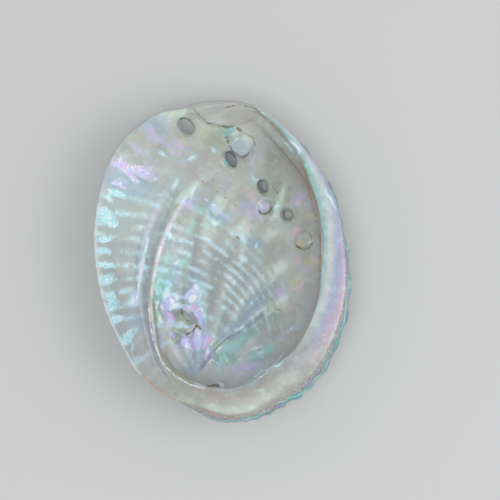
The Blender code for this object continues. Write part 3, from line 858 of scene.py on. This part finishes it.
def relief(points, latitude, settings):
    """How far each point moves out of the bowl, in millimetres."""
    x, y = points[:, 0], points[:, 1]
    age, cord = growth(x, y)
    distance, _ = spiral(x, y)
    inside = 1.0 - smooth_step(latitude, *INSIDE_ENDS)
    outside = smooth_step(latitude, *OUTSIDE_STARTS)
    ledge = ledge_share(np.degrees(np.arctan2(y, x)))
    bowl = inside * (1.0 - ledge * smooth_step(latitude, *WALL_STARTS))
    shelf = inside * ledge * smooth_step(latitude, *SHELF_STARTS)
    back = outside * (1.0 - smooth_step(latitude, *BACK_ENDS))
    growing = smooth_step(distance, *APEX_FADE)
    ribbed = smooth_step(cord, HOLE_CORD + 0.05, HOLE_CORD + 0.5) * growing
    # The folds push the wall out of the bowl where this is 1, and into it where it is -1.
    phase = np.cos(2 * math.pi * fold_turns(age, cord))
    fold = settings.fold_height / MM
    folded = smooth_step(age, *FOLDS_FADE) * (1.0 - smooth_step(age, -8.0, -2.0))
    height = bowl * ribbed * fold * phase * folded
    grooved = bowl * groove_share(cord) * GROOVE_SHARE
    height += grooved * GROOVE_DEPTH * bump(age, GROOVE_AGE, GROOVE_WIDTH)
    height -= grooved * RIDGE_HEIGHT * bump(age, RIDGE_AGE, RIDGE_WIDTH)
    for lump_x, lump_y, radius, rise in LUMPS:
        height -= bowl * rise * np.exp(-((np.hypot(x - lump_x, y - lump_y) / radius) ** 6))
    for rise, width, places in CREASES:
        height -= bowl * rise * bump(distance_to_line(x, y, places), 0.0, width)
    height -= inside * PLATE_RISE * plate_share(x, y)
    # Cords: low ribs inside, on the light side of each fold, and strong ones outside.
    turns = math.pi * (cord_count(cord) + ripples(points, *CORDS_WANDER))
    far = smooth_step(distance, *CORDS_HALVE)
    rib = far * np.cos(2 * turns) + (1.0 - far) * np.cos(turns)
    layers = np.cos(2 * math.pi * BACK_LAYERS * latitude + ripples(points, *LAYERS_WANDER))
    outer_rib = np.cos(4 * turns) * (1.0 - ledge) + layers * ledge
    strength = (0.6 + ripples(points, *CORDS_PATCHY)) * smooth_step(distance, *CORD_FADE)
    height -= bowl * ribbed * settings.cord_height / MM * rib * (0.6 - 0.4 * phase) * strength
    height += back * growing * settings.outer_cord_height / MM * (0.7 + outer_rib)
    height += back * growing * fold * 1.2 * (0.6 + phase)
    swell = settings.swell_height / MM
    height += inside * ripples(points, swell, *INNER_SWELL) * (1.0 - 0.5 * shelf)
    height += back * ripples(points, 2.0 * swell, *OUTER_SWELL)
    # The row of holes stands on a keel, with a knob for each hole that grew shut.
    keel = bump(cord, HOLE_CORD, KEEL_WIDTH) * np.minimum(distance / 90.0, 1.0)
    knobs = 0.5 + 0.5 * np.cos(2 * math.pi * (age - HOLE_AGE) / HOLE_STEP)
    height += back * keel * (KEEL_HEIGHT + KNOB_HEIGHT * knobs)
    # The spire: a low cone of early whorls with a groove between them.
    seam = np.minimum(cord - SUTURE, SUTURE + 2 * math.pi - cord)
    cone = SPIRE_HEIGHT - SEAM_DEPTH * bump(seam, 0.0, 0.5)
    height += outside * bump(distance, 0.0, SPIRE_RADIUS) * cone
    return height


def shell_points(mesh, settings):
    """Where each vertex of the cube goes on the shell, and its latitude."""
    latitude, degrees = cube_places(mesh)
    points = surface(latitude, degrees)
    normals = wall_normals(latitude, degrees)
    away = np.where(latitude < 2.0, -1.0, 1.0)[:, None]
    points = points + normals * away * relief(points, latitude, settings)[:, None]
    points[latitude > FLAT_FROM, 2] = 0.0
    points[:, 2] = np.maximum(points[:, 2], 0.0)
    return points, latitude


def link_object(name, mesh):
    data = bpy.data.meshes.new(name)
    mesh.to_mesh(data)
    mesh.free()
    made = bpy.data.objects.new(name, data)
    bpy.context.scene.collection.objects.link(made)
    return made


def turn_pin(pins, width, flare):
    """A closed pin like a spool, 1 throat wide at its waist and flaring at both ends."""
    rings = 10
    wide = 0.5 + (flare + PIN_SLOPE * (PIN_REACH - flare)) / width
    profile = [pins.verts.new((0.0, 0.0, -PIN_REACH)), pins.verts.new((wide, 0.0, -PIN_REACH))]
    for step in range(-rings, rings + 1):
        share = 0.92 * step / rings
        out = flare * (1.0 - math.sqrt(1.0 - share * share))
        profile.append(pins.verts.new((0.5 + out / width, 0.0, flare * share)))
    profile += [pins.verts.new((wide, 0.0, PIN_REACH)), pins.verts.new((0.0, 0.0, PIN_REACH))]
    edges = [pins.edges.new(pair) for pair in zip(profile, profile[1:])]
    bmesh.ops.spin(
        pins, geom=profile + edges, cent=(0, 0, 0), axis=(0, 0, 1),
        angle=2 * math.pi, steps=40, use_merge=True, use_duplicate=False,
    )


def hole_pins(tree, flare):
    """Spools that cut the open holes, each along the wall's own normal."""
    pins = bmesh.new()
    for x, y, width, length, turn in HOLES:
        inner, normal, *_ = tree.ray_cast(Vector((x, y, ABOVE_SHELL)), Vector((0, 0, -1)))
        outer, *_ = tree.ray_cast(Vector((x, y, BELOW_SHELL)), Vector((0, 0, 1)))
        known = set(pins.verts)
        turn_pin(pins, width, flare)
        fresh = [vert for vert in pins.verts if vert not in known]
        along = Vector((math.cos(math.radians(turn)), math.sin(math.radians(turn)), 0.0))
        along = (along - normal * along.dot(normal)).normalized()
        across = along.cross(normal)
        facing = Matrix((across, along, normal)).transposed()
        bmesh.ops.scale(pins, verts=fresh, vec=(width, length, 1.0))
        bmesh.ops.rotate(pins, verts=fresh, cent=(0, 0, 0), matrix=facing)
        bmesh.ops.translate(pins, verts=fresh, vec=(inner + outer) / 2)
    bmesh.ops.remove_doubles(pins, verts=pins.verts, dist=1e-5)
    bmesh.ops.recalc_face_normals(pins, faces=pins.faces)
    return pins


def cut_holes(shell, pins):
    """Cuts the pins out of the shell and keeps the result as its mesh."""
    cutter = link_object("hole_pins", pins)
    cut = shell.modifiers.new("holes", "BOOLEAN")
    cut.operation = "DIFFERENCE"
    cut.solver = "EXACT"
    cut.object = cutter
    shown = shell.evaluated_get(bpy.context.evaluated_depsgraph_get())
    data = bpy.data.meshes.new_from_object(shown)
    shell.modifiers.remove(cut)
    shell.data = data
    bpy.data.objects.remove(cutter)


def vertex_rows(data, what):
    """The vertices' places or normals, a row for each."""
    values = np.empty(len(data.vertices) * 3)
    data.vertices.foreach_get(what, values)
    return values.reshape(-1, 3)


def oval_reach(x, y, middle_x, middle_y, length, width, turn):
    """0 in the middle of a slanted oval and 1 on its edge, from half its length and half its width."""
    along, over = math.cos(math.radians(turn)), math.sin(math.radians(turn))
    ahead = (x - middle_x) * along + (y - middle_y) * over
    aside = (y - middle_y) * along - (x - middle_x) * over
    return np.hypot(ahead / length, aside / width)


def growth_values(points, latitude):
    """Where each point lies in the shell's growth and on which of its sides, as the material reads it."""
    x, y = points[:, 0], points[:, 1]
    age, cord = growth(x, y)
    distance, _ = spiral(x, y)
    around_shell = np.degrees(np.arctan2(y, x))
    ledge = ledge_share(around_shell)
    # The ground rim reaches further in where more of the outer shell was taken off.
    ground = RIM_GROUND * bump(around_shell, *GROUND_AROUND) * smooth_step(latitude, *GROUND_STARTS)
    latitude = latitude + ground
    on_ledge = smooth_step(latitude, *LEDGE_EDGE)
    below_ledge = smooth_step(latitude, *UNDER_LEDGE_STARTS) * (1.0 - on_ledge)
    smooth = 1.0 - smooth_step(cord - HOLE_CORD, *SMOOTH_CORDS)
    ribbed = (1.0 - smooth) * smooth_step(distance, *CORD_FADE) * smooth_step(age, *FOLDS_FADE)
    # Cords hardly show in the groove, and they are fainter outside it.
    fainter = 0.8 * groove_share(cord) * bump(age, GROOVE_AGE, 2.6)
    ribbed = ribbed * (1.0 - fainter) * (1.0 - 0.35 * smooth_step(age, GROOVE_AGE, -11.0))
    # On the back, layers show along the growth lines, and tiers along the rim below the ledge.
    return {
        "age": age,
        "fold": fold_turns(age, cord),
        "cord": cord_count(cord),
        "far": smooth_step(distance, *CORDS_HALVE),
        "latitude": latitude,
        "around": around_shell,
        "layer": LAYERS_GROWN * age,
        "tier": LAYERS_UNDER_LEDGE * latitude,
        "ledge": ledge * on_ledge * (1.0 - smooth_step(latitude, *LEDGE_RIM)),
        "rim": 0.25 + 0.75 * ledge,
        "plate": plate_share(x, y) * (1.0 - smooth_step(latitude, *PLATE_ENDS)),
        "smooth": smooth * (1.0 - ledge * smooth_step(latitude, *SMOOTH_ENDS)),
        "wall": ledge * below_ledge,
        "deep": bump(distance, 0.0, PIT_RADIUS) * (1.0 - smooth_step(latitude, *PIT_ENDS)),
        "ribbed": ribbed,
        "grooved": groove_share(cord),
    }


def marking_values(points, latitude):
    """How near each point is to each marking: millimetres off a line or a hole, or a patch's share."""
    x, y = points[:, 0], points[:, 1]
    inner = latitude < INNER_UNDER
    bent_x = x + ripples(points, *EDGES_WANDER, seed=21)
    bent_y = y + ripples(points, *EDGES_WANDER, seed=22)
    values = {}
    for name, spots in PATCHES.items():
        ovals = [np.exp(-(oval_reach(bent_x, bent_y, *spot) ** 2)) for spot in spots]
        values[name] = np.max(ovals, axis=0) * inner
    # Painted shade on the walls of each open hole, by distance from the hole's edge.
    throats = [
        (oval_reach(x, y, hole_x, hole_y, length / 2, width / 2, turn) - 1.0) * width / 2
        for hole_x, hole_y, width, length, turn in HOLES
    ]
    values["throat"] = np.min(throats, axis=0)
    # Only the valleys among the creases get a mark, a painted blue shadow along each.
    shaded_creases = [(width / 3, places) for rise, width, places in CREASES if rise < 0]
    marks = {"stain": STAINS, "crease": shaded_creases, "glint": GLINTS, "gilt": LEDGE_SHADE_LINES, "rust": RUSTS}
    for name, lines in marks.items():
        off_lines = [distance_to_line(x, y, places) - width for width, places in lines]
        values[name] = np.where(inner, np.min(off_lines, axis=0), FAR_OFF)
    return values


def store_growth(data, wrapped, latitude):
    """Keeps numbers for each vertex that the material reads, and gives back their names."""
    points = vertex_rows(data, "co")
    tree = kdtree.KDTree(len(wrapped))
    for number, place in enumerate(wrapped):
        tree.insert(place, number)
    tree.balance()
    nearest = np.array([tree.find(place)[1] for place in points])
    values = growth_values(points, latitude[nearest])
    values.update(marking_values(points, values["latitude"]))
    values["tilt"] = vertex_rows(data, "normal") @ np.array(direction(*SHEEN_FROM))
    for name, numbers in values.items():
        layer = data.attributes.new(name, "FLOAT", "POINT")
        layer.data.foreach_set("value", np.asarray(numbers, np.float32))
    return list(values)


def node(tree, kind, settings=None, inputs=(), stops=(), output=None):
    """Adds a node with its settings and, on a colour ramp, its stops. Inputs are given by name or number,
    or in their order. An input that is given a socket is linked to it, and any other input is set. The
    answer is the output named, or else the first one in use."""
    made = tree.nodes.new("ShaderNode" + kind)
    for name, value in (settings or {}).items():
        setattr(made, name, value)
    for key, value in inputs.items() if isinstance(inputs, dict) else enumerate(inputs):
        if isinstance(value, bpy.types.NodeSocket):
            tree.links.new(value, made.inputs[key])
        else:
            made.inputs[key].default_value = value
    if stops:
        elements = made.color_ramp.elements
        for end in (0, -1):
            elements[end].position = stops[end][0]
            elements[end].color = stops[end][1]
        for place, colour in stops[1:-1]:
            elements.new(place).color = colour
    if output:
        return made.outputs[output]
    return next((socket for socket in made.outputs if socket.enabled), None)


def new_material(name):
    """A material with no nodes but the coordinates of the object it is on, its node tree, and these."""
    material = bpy.data.materials.new(name)
    material.use_nodes = True
    tree = material.node_tree
    tree.nodes.clear()
    return material, tree, node(tree, "TexCoord", output="Object")


def make_nacre(colours, stored):
    """Nacre, the mother-of-pearl of the inner shell, ground and polished. Thin layers of aragonite throw
    light back from many depths, so it is pale and glossy with a sheen like a weak metal. Its base colour
    carries painted sheen, highlights, glints and shade that stand for how light fell on it."""
    material, tree, place = new_material("polished nacre")
    read = {name: node(tree, "Attribute", {"attribute_name": name}, output="Fac") for name in stored}
    for name, (size, detail) in GRAINS.items():
        inputs = {"Vector": place, "Scale": 1.0 / (size * MM), "Detail": detail}
        read[name] = node(tree, "TexNoise", {}, inputs)
    grown = node(tree, "CombineXYZ", {}, (read["age"], read["cord"]))
    for name, (often, detail) in GROWN_GRAINS.items():
        at = node(tree, "VectorMath", TIMES, (grown, often))
        read[name] = node(tree, "TexNoise", {}, {"Vector": at, "Scale": 1.0, "Detail": detail})
    read["rib"] = rib_wave(tree, read)
    sheen = [(at, tuple(getattr(colours, name))) for name, at in SHEEN.items()]
    colour = bowl_colour(tree, read, nacre_tone(tree, read), place)
    colour = ledge_colour(tree, read, colour, sheen)
    colour = patch_colour(tree, read, colour, place, sheen, colours)
    colour = mark_colour(tree, read, colour, colours)
    colour = outer_colour(tree, read, colour, colours)
    normal = node(tree, "Bump", {}, {"Distance": BUMP_HEIGHT * MM, "Height": nacre_bump(tree, read)})
    # The polish is uneven, and the chalky plate stays matt.
    dull = node(tree, "MapRange", {}, {"Value": read["clouds"], "To Min": 0.24, "To Max": 0.42})
    matt = node(tree, "Math", TIMES, (read["plate"], 0.6))
    dull = node(tree, "Math", {"operation": "MAXIMUM"}, (dull, matt))
    shader = node(tree, "BsdfPrincipled", {}, {
        "Base Color": colour,
        "Metallic": 0.1,
        "Roughness": dull,
        "IOR": 1.56,
        "Coat Weight": 0.35,
        "Coat Roughness": 0.1,
        "Coat IOR": 1.5,
        "Thin Film Thickness": 368.0,
        "Thin Film IOR": 1.38,
        "Normal": normal,
    })
    node(tree, "OutputMaterial", {}, {"Surface": shader})
    return material


def rib_wave(tree, read):
    """The cords as a wave from -1 to 1. Near the apex every second cord has ended."""
    turns = node(tree, "Math", PLUS, (read["clouds"], 0.8, read["cord"]))
    waves = []
    for turn in (math.pi, 2 * math.pi):
        angle = node(tree, "Math", TIMES, (turns, turn))
        waves.append(node(tree, "Math", COSINE, (angle,)))
    rib = node(tree, "Mix", {}, {0: read["far"], 2: waves[0], 3: waves[1]})
    uneven = node(tree, "MapRange", EASED, {"Value": read["ripples"], "From Min": 0.36, "From Max": 0.60})
    share = node(tree, "Math", TIMES, (uneven, read["ribbed"]))
    return node(tree, "Math", TIMES, (rib, share))


def nacre_tone(tree, read):
    """How light each place is, from 0 to 1, as painted light and shade: fold crests painted pale and
    valleys darker, crossed by cords painted pale as highlights, and soft clouds.
    """
    angle = node(tree, "Math", TIMES, (read["fold"], 2 * math.pi))
    crest = node(tree, "Math", COSINE, (angle,))
    # Cords are painted brightest on the lit, pale side of a fold, as highlights.
    lit = node(tree, "MapRange", EASED, {
        "Value": crest, "From Min": -1.0, "From Max": 0.8, "To Min": 1.0, "To Max": 0.15})
    rib = node(tree, "Math", TIMES, (read["rib"], lit))
    crest = node(tree, "Math", TIMES, (crest, read["ribbed"]))
    # The bottom of the pit by the spire is painted paler: painted light against the shade that falls in the
    # pit.
    waves = [(crest, -0.13), (rib, 0.21), (read["deep"], 0.30), (read["smooth"], 0.10)]
    for name, only_on, share in TONE_GRAINS:
        wave = node(tree, "Math", MINUS, (read[name], 0.5))
        if only_on:
            wave = node(tree, "Math", TIMES, (wave, read[only_on]))
        waves.append((wave, share))
    tone = 0.5
    for wave, share in waves:
        tone = node(tree, "Math", PLUS, (wave, share, tone))
    return tone


def bowl_colour(tree, read, tone, place):
    """Colour of the bowl and the lip: the tone, tints that drift with how each slope faces as painted
    sheen, warm flakes and the lip's bands.
    """
    colour = node(tree, "ValToRGB", {}, (tone,), ramp(TONES))
    drift = read["drift"]
    for name, share in (("fold", 0.23), ("tilt", 1.6), ("rib", 0.05)):
        drift = node(tree, "Math", PLUS, (read[name], share, drift))
    drift = node(tree, "Math", FRACT, (drift,))
    tint = node(tree, "ValToRGB", {}, (drift,), ramp(TINTS))
    blend = {"data_type": "RGBA", "blend_type": "SOFT_LIGHT"}
    colour = node(tree, "Mix", blend, {0: 0.6, 6: colour, 7: tint})
    # The smoother side of the bowl is mottled with warm flakes, and its wall is darker and yellower.
    shaken = node(tree, "Mix", {"data_type": "VECTOR"}, {0: 0.012, 4: place, 5: read["ripples"]})
    inputs = {"Vector": shaken, "Scale": 1.0 / (FLAKE_SIZE * MM), "Smoothness": 0.35}
    flakes = node(tree, "TexVoronoi", {"feature": "SMOOTH_F1"}, inputs, output="Color")
    flake = node(tree, "SeparateColor", {}, (flakes,))
    warm = node(tree, "ValToRGB", {}, (flake,), ramp(FLAKES))
    wall = node(tree, "ValToRGB", {}, (read["clouds"],), ramp(WALL_TONES))
    for name, most, hue in (("smooth", 0.50, warm), ("wall", 0.65, wall)):
        share = node(tree, "Math", TIMES, (read[name], most))
        colour = node(tree, "Mix", RGBA, {0: share, 6: colour, 7: hue})
    # The matt band on the lip, painted shade in the groove inside it, and painted highlights on the ridge
    # beside the groove, on the crest and along the margin.
    broken = node(tree, "Math", {**PLUS, "use_clamp": True}, (read["streaks"], 2.2, -0.2))
    rough = node(tree, "Math", MINUS, (1.0, read["smooth"]))
    broken = node(tree, "Math", TIMES, (broken, rough))
    grooved = node(tree, "Math", TIMES, (broken, read["grooved"]))
    for middle, width, code, most in LIP_BANDS:
        away = node(tree, "Math", MINUS, (read["age"], middle))
        away = node(tree, "Math", ABSOLUTE, (away,))
        band = node(tree, "MapRange", EASED, {
            "Value": away, "From Max": width, "To Min": most, "To Max": 0.0})
        share = node(tree, "Math", TIMES, (band, grooved if middle < GROOVE_BANDS_FROM else broken))
        colour = node(tree, "Mix", RGBA, {0: share, 6: colour, 7: linear(code)})
    return colour


def patch_colour(tree, read, colour, place, sheen, colours):
    """Shaded patches, the sky ones painted shade, then bright ones of painted sheen and highlights whose
    colours run through the sheen from edge to middle.
    """
    facets = {}
    shaken = node(tree, "Mix", {"data_type": "VECTOR"}, {0: 0.006, 4: place, 5: read["ripples"]})
    for size in FACET_SIZES:
        inputs = {"Vector": shaken, "Scale": 1.0 / (size * MM)}
        cells = node(tree, "TexVoronoi", {}, inputs, output="Color")
        facets[size] = node(tree, "SeparateColor", {}, (cells,))
    looks = [(name, None, 0.0, *look, None) for name, look in SHADES.items()]
    looks += [(name, *look) for name, look in FLASHES.items()]
    for name, middle, run, most, ragged, soft, size in looks:
        shape = read[name]
        for grain, share in (("ripples", 0.5), ("flecks", 0.5), ("rib", 0.25)):
            shape = node(tree, "Math", PLUS, (read[grain], share * ragged, shape))
        edge = 0.45 + ragged / 2
        share = node(tree, "MapRange", EASED, {
            "Value": shape, "From Min": edge - soft, "From Max": edge + soft, "To Max": most})
        if middle is None:
            hue = tuple(getattr(colours, name))
        else:
            across, centre = (facets[size], 0.5) if size else (shape, edge + 0.6)
            at = node(tree, "Math", PLUS, (across, run, middle - run * centre))
            hue = node(tree, "ValToRGB", {}, (at,), sheen)
        colour = node(tree, "Mix", RGBA, {0: share, 6: colour, 7: hue})
    plate = node(tree, "Math", TIMES, (read["plate"], 0.75))
    return node(tree, "Mix", RGBA, {0: plate, 6: colour, 7: tuple(colours.plate)})


def ledge_colour(tree, read, colour, sheen):
    """Colour of the flat ledge: bone white with bands of sheen that drift along it."""
    wave = node(tree, "Math", PLUS, (read["clouds"], 0.10, read["latitude"]))
    across = node(tree, "MapRange", {}, {"Value": wave, "From Min": 1.53, "From Max": 2.06})
    bone = node(tree, "ValToRGB", {}, (across,), ramp(LEDGE_BONE))
    turn = node(tree, "Math", PLUS, (read["clouds"], 40.0, read["around"]))
    # From its inner edge to the rim the sheen runs from green to pink, and it starts later lower down.
    drift = 0.22
    for wave, share in ((across, 0.55), (turn, -0.003), (read["flecks"], 0.25)):
        drift = node(tree, "Math", PLUS, (wave, share, drift))
    bands = node(tree, "ValToRGB", {}, (drift,), sheen)
    share = node(tree, "MapRange", EASED, {
        "Value": turn, "From Min": -60.0, "From Max": 0.0, "To Min": 0.16, "To Max": 0.56})
    mixed = node(tree, "Mix", RGBA, {0: share, 6: bone, 7: bands})
    shade = node(tree, "MapRange", {}, {
        "Value": read["ripples"], "From Min": 0.3, "From Max": 0.7, "To Min": 0.88, "To Max": 1.03})
    mixed = node(tree, "VectorMath", {"operation": "SCALE"}, {0: mixed, "Scale": shade})
    return node(tree, "Mix", RGBA, {0: read["ledge"], 6: colour, 7: mixed})


def mark_colour(tree, read, colour, colours):
    """Painted shade darkens the creases, the ledge's inner edge and the walls of the open holes, rust and
    stains follow the rim, the sealed holes and the plate, and painted glints brighten lines turned to the
    light.
    """
    for name, hue, most, soft in MARK_LOOKS:
        # The noise makes each mark's edge uneven and its strength patchy.
        uneven = node(tree, "Math", PLUS, (read["flecks"], 1.2, read[name]))
        share = node(tree, "MapRange", EASED, {
            "Value": uneven, "From Min": 0.45, "From Max": 0.60 + soft, "To Min": most, "To Max": 0.0})
        colour = node(tree, "Mix", RGBA, {0: share, 6: colour, 7: tuple(getattr(colours, hue))})
    return colour


def outer_colour(tree, read, colour, colours):
    """Colour of the rim's speckled edge and of the polished back."""
    hues = []
    for lines in (read["layer"], read["tier"]):
        for name, share in (("ripples", 1.1), ("clouds", 2.4)):
            lines = node(tree, "Math", PLUS, (read[name], share, lines))
        lines = node(tree, "Math", FRACT, (lines,))
        hues.append(node(tree, "ValToRGB", {}, (lines,), ramp(BACK)))
    side = node(tree, "MapRange", EASED, {"Value": read["rim"], "From Min": 0.4, "From Max": 0.85})
    back = node(tree, "Mix", RGBA, {0: side, 6: hues[0], 7: hues[1]})
    share = node(tree, "MapRange", EASED, {"Value": read["latitude"], "From Min": 2.0, "From Max": 2.06})
    colour = node(tree, "Mix", RGBA, {0: share, 6: colour, 7: back})
    # Worn layers of the outer shell still show as grey-brown patches.
    worn = node(tree, "MapRange", EASED, {
        "Value": read["wear"], "From Min": 0.56, "From Max": 0.62, "To Max": 0.8})
    worn = node(tree, "Math", TIMES, (worn, share))
    colour = node(tree, "Mix", RGBA, {0: worn, 6: colour, 7: tuple(colours.worn)})
    # Just under the rim a band of uneven width is speckled grey and brown.
    off_rim = node(tree, "Math", MINUS, (read["latitude"], RIM_SPECKLE_AT))
    off_rim = node(tree, "Math", ABSOLUTE, (off_rim,))
    off_rim = node(tree, "Math", PLUS, (read["ripples"], 0.12, off_rim))
    rim = node(tree, "MapRange", EASED, {
        "Value": off_rim, "From Min": 0.09, "From Max": 0.15, "To Min": 0.85, "To Max": 0.0})
    rim = node(tree, "Math", TIMES, (rim, read["rim"]))
    speckle = node(tree, "ValToRGB", {}, (read["specks"],), ramp(RIM_SPECKLE))
    return node(tree, "Mix", RGBA, {0: rim, 6: colour, 7: speckle})


def nacre_bump(tree, read):
    """Heights too fine for the mesh: growth lines, small ripples, the grain of the layers and stains."""
    height = node(tree, "MapRange", EASED, {
        "Value": read["stain"], "From Min": -0.1, "From Max": 0.4, "To Min": -0.8, "To Max": 0.0})
    for name, share in (("specks", 0.25), ("ripples", 0.9), ("lines", 0.5), ("streaks", 0.5)):
        height = node(tree, "Math", PLUS, (read[name], share, height))
    return height


class ShellSizes(bpy.types.PropertyGroup):
    """Sizes of the relief that is too fine for the solid."""

    __annotations__ = {
        key: FloatProperty(
            name=key.replace("_", " ").capitalize(), description=what, default=usual,
            min=least, max=most, unit="LENGTH",
        )
        for key, (what, usual, least, most) in SIZES.items()
    }


class ShellColours(bpy.types.PropertyGroup):
    """Colours of the nacre, its patches and its stains, and of the floor."""

    __annotations__ = {
        key: FloatVectorProperty(
            name=key.replace("_", " ").capitalize(), description=what, default=linear(code),
            subtype="COLOR", size=4, min=0.0, max=1.0,
        )
        for key, (what, code) in COLOURS.items()
    }


class OBJECT_OT_abalone_shell(bpy.types.Operator):
    """Make the shell, with its folds, cords, holes and nacre"""

    bl_idname = "object.abalone_shell"
    bl_label = "Make the shell"

    def execute(self, context):
        settings = context.scene.shell_sizes
        mesh = bmesh.new()
        bmesh.ops.create_cube(mesh, size=2.0)
        bmesh.ops.subdivide_edges(mesh, edges=mesh.edges, cuts=CELLS - 1, use_grid_fill=True)
        points, latitude = shell_points(mesh, settings)
        for vert, place in zip(mesh.verts, points):
            vert.co = place
        bmesh.ops.triangulate(mesh, faces=mesh.faces)
        bmesh.ops.recalc_face_normals(mesh, faces=mesh.faces)
        tree = BVHTree.FromBMesh(mesh)
        shell = link_object("nacre_shell", mesh)
        cut_holes(shell, hole_pins(tree, settings.hole_flare / MM))
        stored = store_growth(shell.data, points, latitude)
        centred = Matrix.Translation((-BOX_MIDDLE[0], -BOX_MIDDLE[1], 0.0))
        shell.data.transform(Matrix.Scale(MM, 4) @ centred)
        shell.data.shade_smooth()
        shell.data.materials.clear()
        shell.data.materials.append(make_nacre(context.scene.shell_colours, stored))
        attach(shell, "root")
        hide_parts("shell")
        return {"FINISHED"}


class OBJECT_OT_abalone_stage(bpy.types.Operator):
    """Make the floor, the light and the camera"""

    bl_idname = "object.abalone_stage"
    bl_label = "Make the stage"

    def execute(self, context):
        mesh = bmesh.new()
        bmesh.ops.create_grid(mesh, x_segments=1, y_segments=1, size=FLOOR_SIZE / 2)
        floor = link_object("floor", mesh)
        floor.data.materials.append(make_floor_paint(tuple(context.scene.shell_colours.floor)))
        world = bpy.data.worlds.new("soft room")
        world.use_nodes = True
        glow = world.node_tree.nodes["Background"].inputs
        glow["Color"].default_value = linear(WORLD_COLOUR)
        glow["Strength"].default_value = WORLD_STRENGTH
        context.scene.world = world
        for name, turn, height, size, power, code in LAMPS:
            data = bpy.data.lights.new(name, "AREA")
            data.shape = "DISK"
            data.size = size
            data.energy = power
            data.color = linear(code)[:3]
            aim(name, data, Vector(), direction(turn, height), LAMP_DISTANCE)
        data = bpy.data.cameras.new("camera")
        data.lens = CAMERA_LENS
        target = (Vector(CAMERA_TARGET) - Vector((*BOX_MIDDLE, 0.0))) * MM
        back = direction(CAMERA_TURN, CAMERA_HEIGHT)
        context.scene.camera = aim("camera", data, target, back, CAMERA_DISTANCE)
        context.scene.view_settings.view_transform = "Standard"
        return {"FINISHED"}


def direction(turn, height):
    """A unit vector out of the shell: degrees round from -Y towards +X, and degrees up."""
    turn, height = math.radians(turn), math.radians(height)
    return Vector((math.sin(turn) * math.cos(height), -math.cos(turn) * math.cos(height), math.sin(height)))


def aim(name, data, target, back, distance):
    """Adds a lamp or a camera that looks at the target from a distance along a direction."""
    made = bpy.data.objects.new(name, data)
    bpy.context.scene.collection.objects.link(made)
    made.location = target + back * distance
    made.rotation_euler = back.to_track_quat("Z", "Y").to_euler()
    return made


def make_floor_paint(colour):
    """Matt emulsion paint, rolled on: even and pale, with a faint roller stipple."""
    material, tree, place = new_material("matt emulsion paint")
    stipple = node(tree, "TexNoise", {}, {
        "Vector": place, "Scale": 1.0 / (STIPPLE_SIZE * MM), "Detail": 2.0})
    bumps = node(tree, "Bump", {}, {
        "Strength": 0.2, "Distance": STIPPLE_HEIGHT * MM, "Height": stipple})
    shader = node(tree, "BsdfPrincipled", {}, {
        "Base Color": colour, "Roughness": 0.85, "Specular IOR Level": 0.2, "Normal": bumps})
    node(tree, "OutputMaterial", {}, {"Surface": shader})
    return material


class VIEW3D_PT_abalone(bpy.types.Panel):
    """The shell's sizes and colours, and the buttons that make it"""

    bl_label = "Abalone shell"
    bl_space_type = "VIEW_3D"
    bl_region_type = "UI"
    bl_category = "Shell"

    def draw(self, context):
        layout = self.layout
        for group in (context.scene.shell_sizes, context.scene.shell_colours):
            for name in group.bl_rna.properties.keys():
                if name not in ("rna_type", "name"):
                    layout.prop(group, name)
        layout.operator(OBJECT_OT_abalone_shell.bl_idname)
        layout.operator(OBJECT_OT_abalone_stage.bl_idname)


CLASSES = (ShellSizes, ShellColours, OBJECT_OT_abalone_shell, OBJECT_OT_abalone_stage, VIEW3D_PT_abalone)


def register():
    for cls in CLASSES:
        bpy.utils.register_class(cls)
    bpy.types.Scene.shell_sizes = PointerProperty(type=ShellSizes)
    bpy.types.Scene.shell_colours = PointerProperty(type=ShellColours)


def unregister():
    del bpy.types.Scene.shell_colours
    del bpy.types.Scene.shell_sizes
    for cls in reversed(CLASSES):
        bpy.utils.unregister_class(cls)


def main():
    register()
    bpy.ops.object.abalone_stage()
    bpy.ops.object.abalone_shell()


if __name__ == "__main__":
    main()
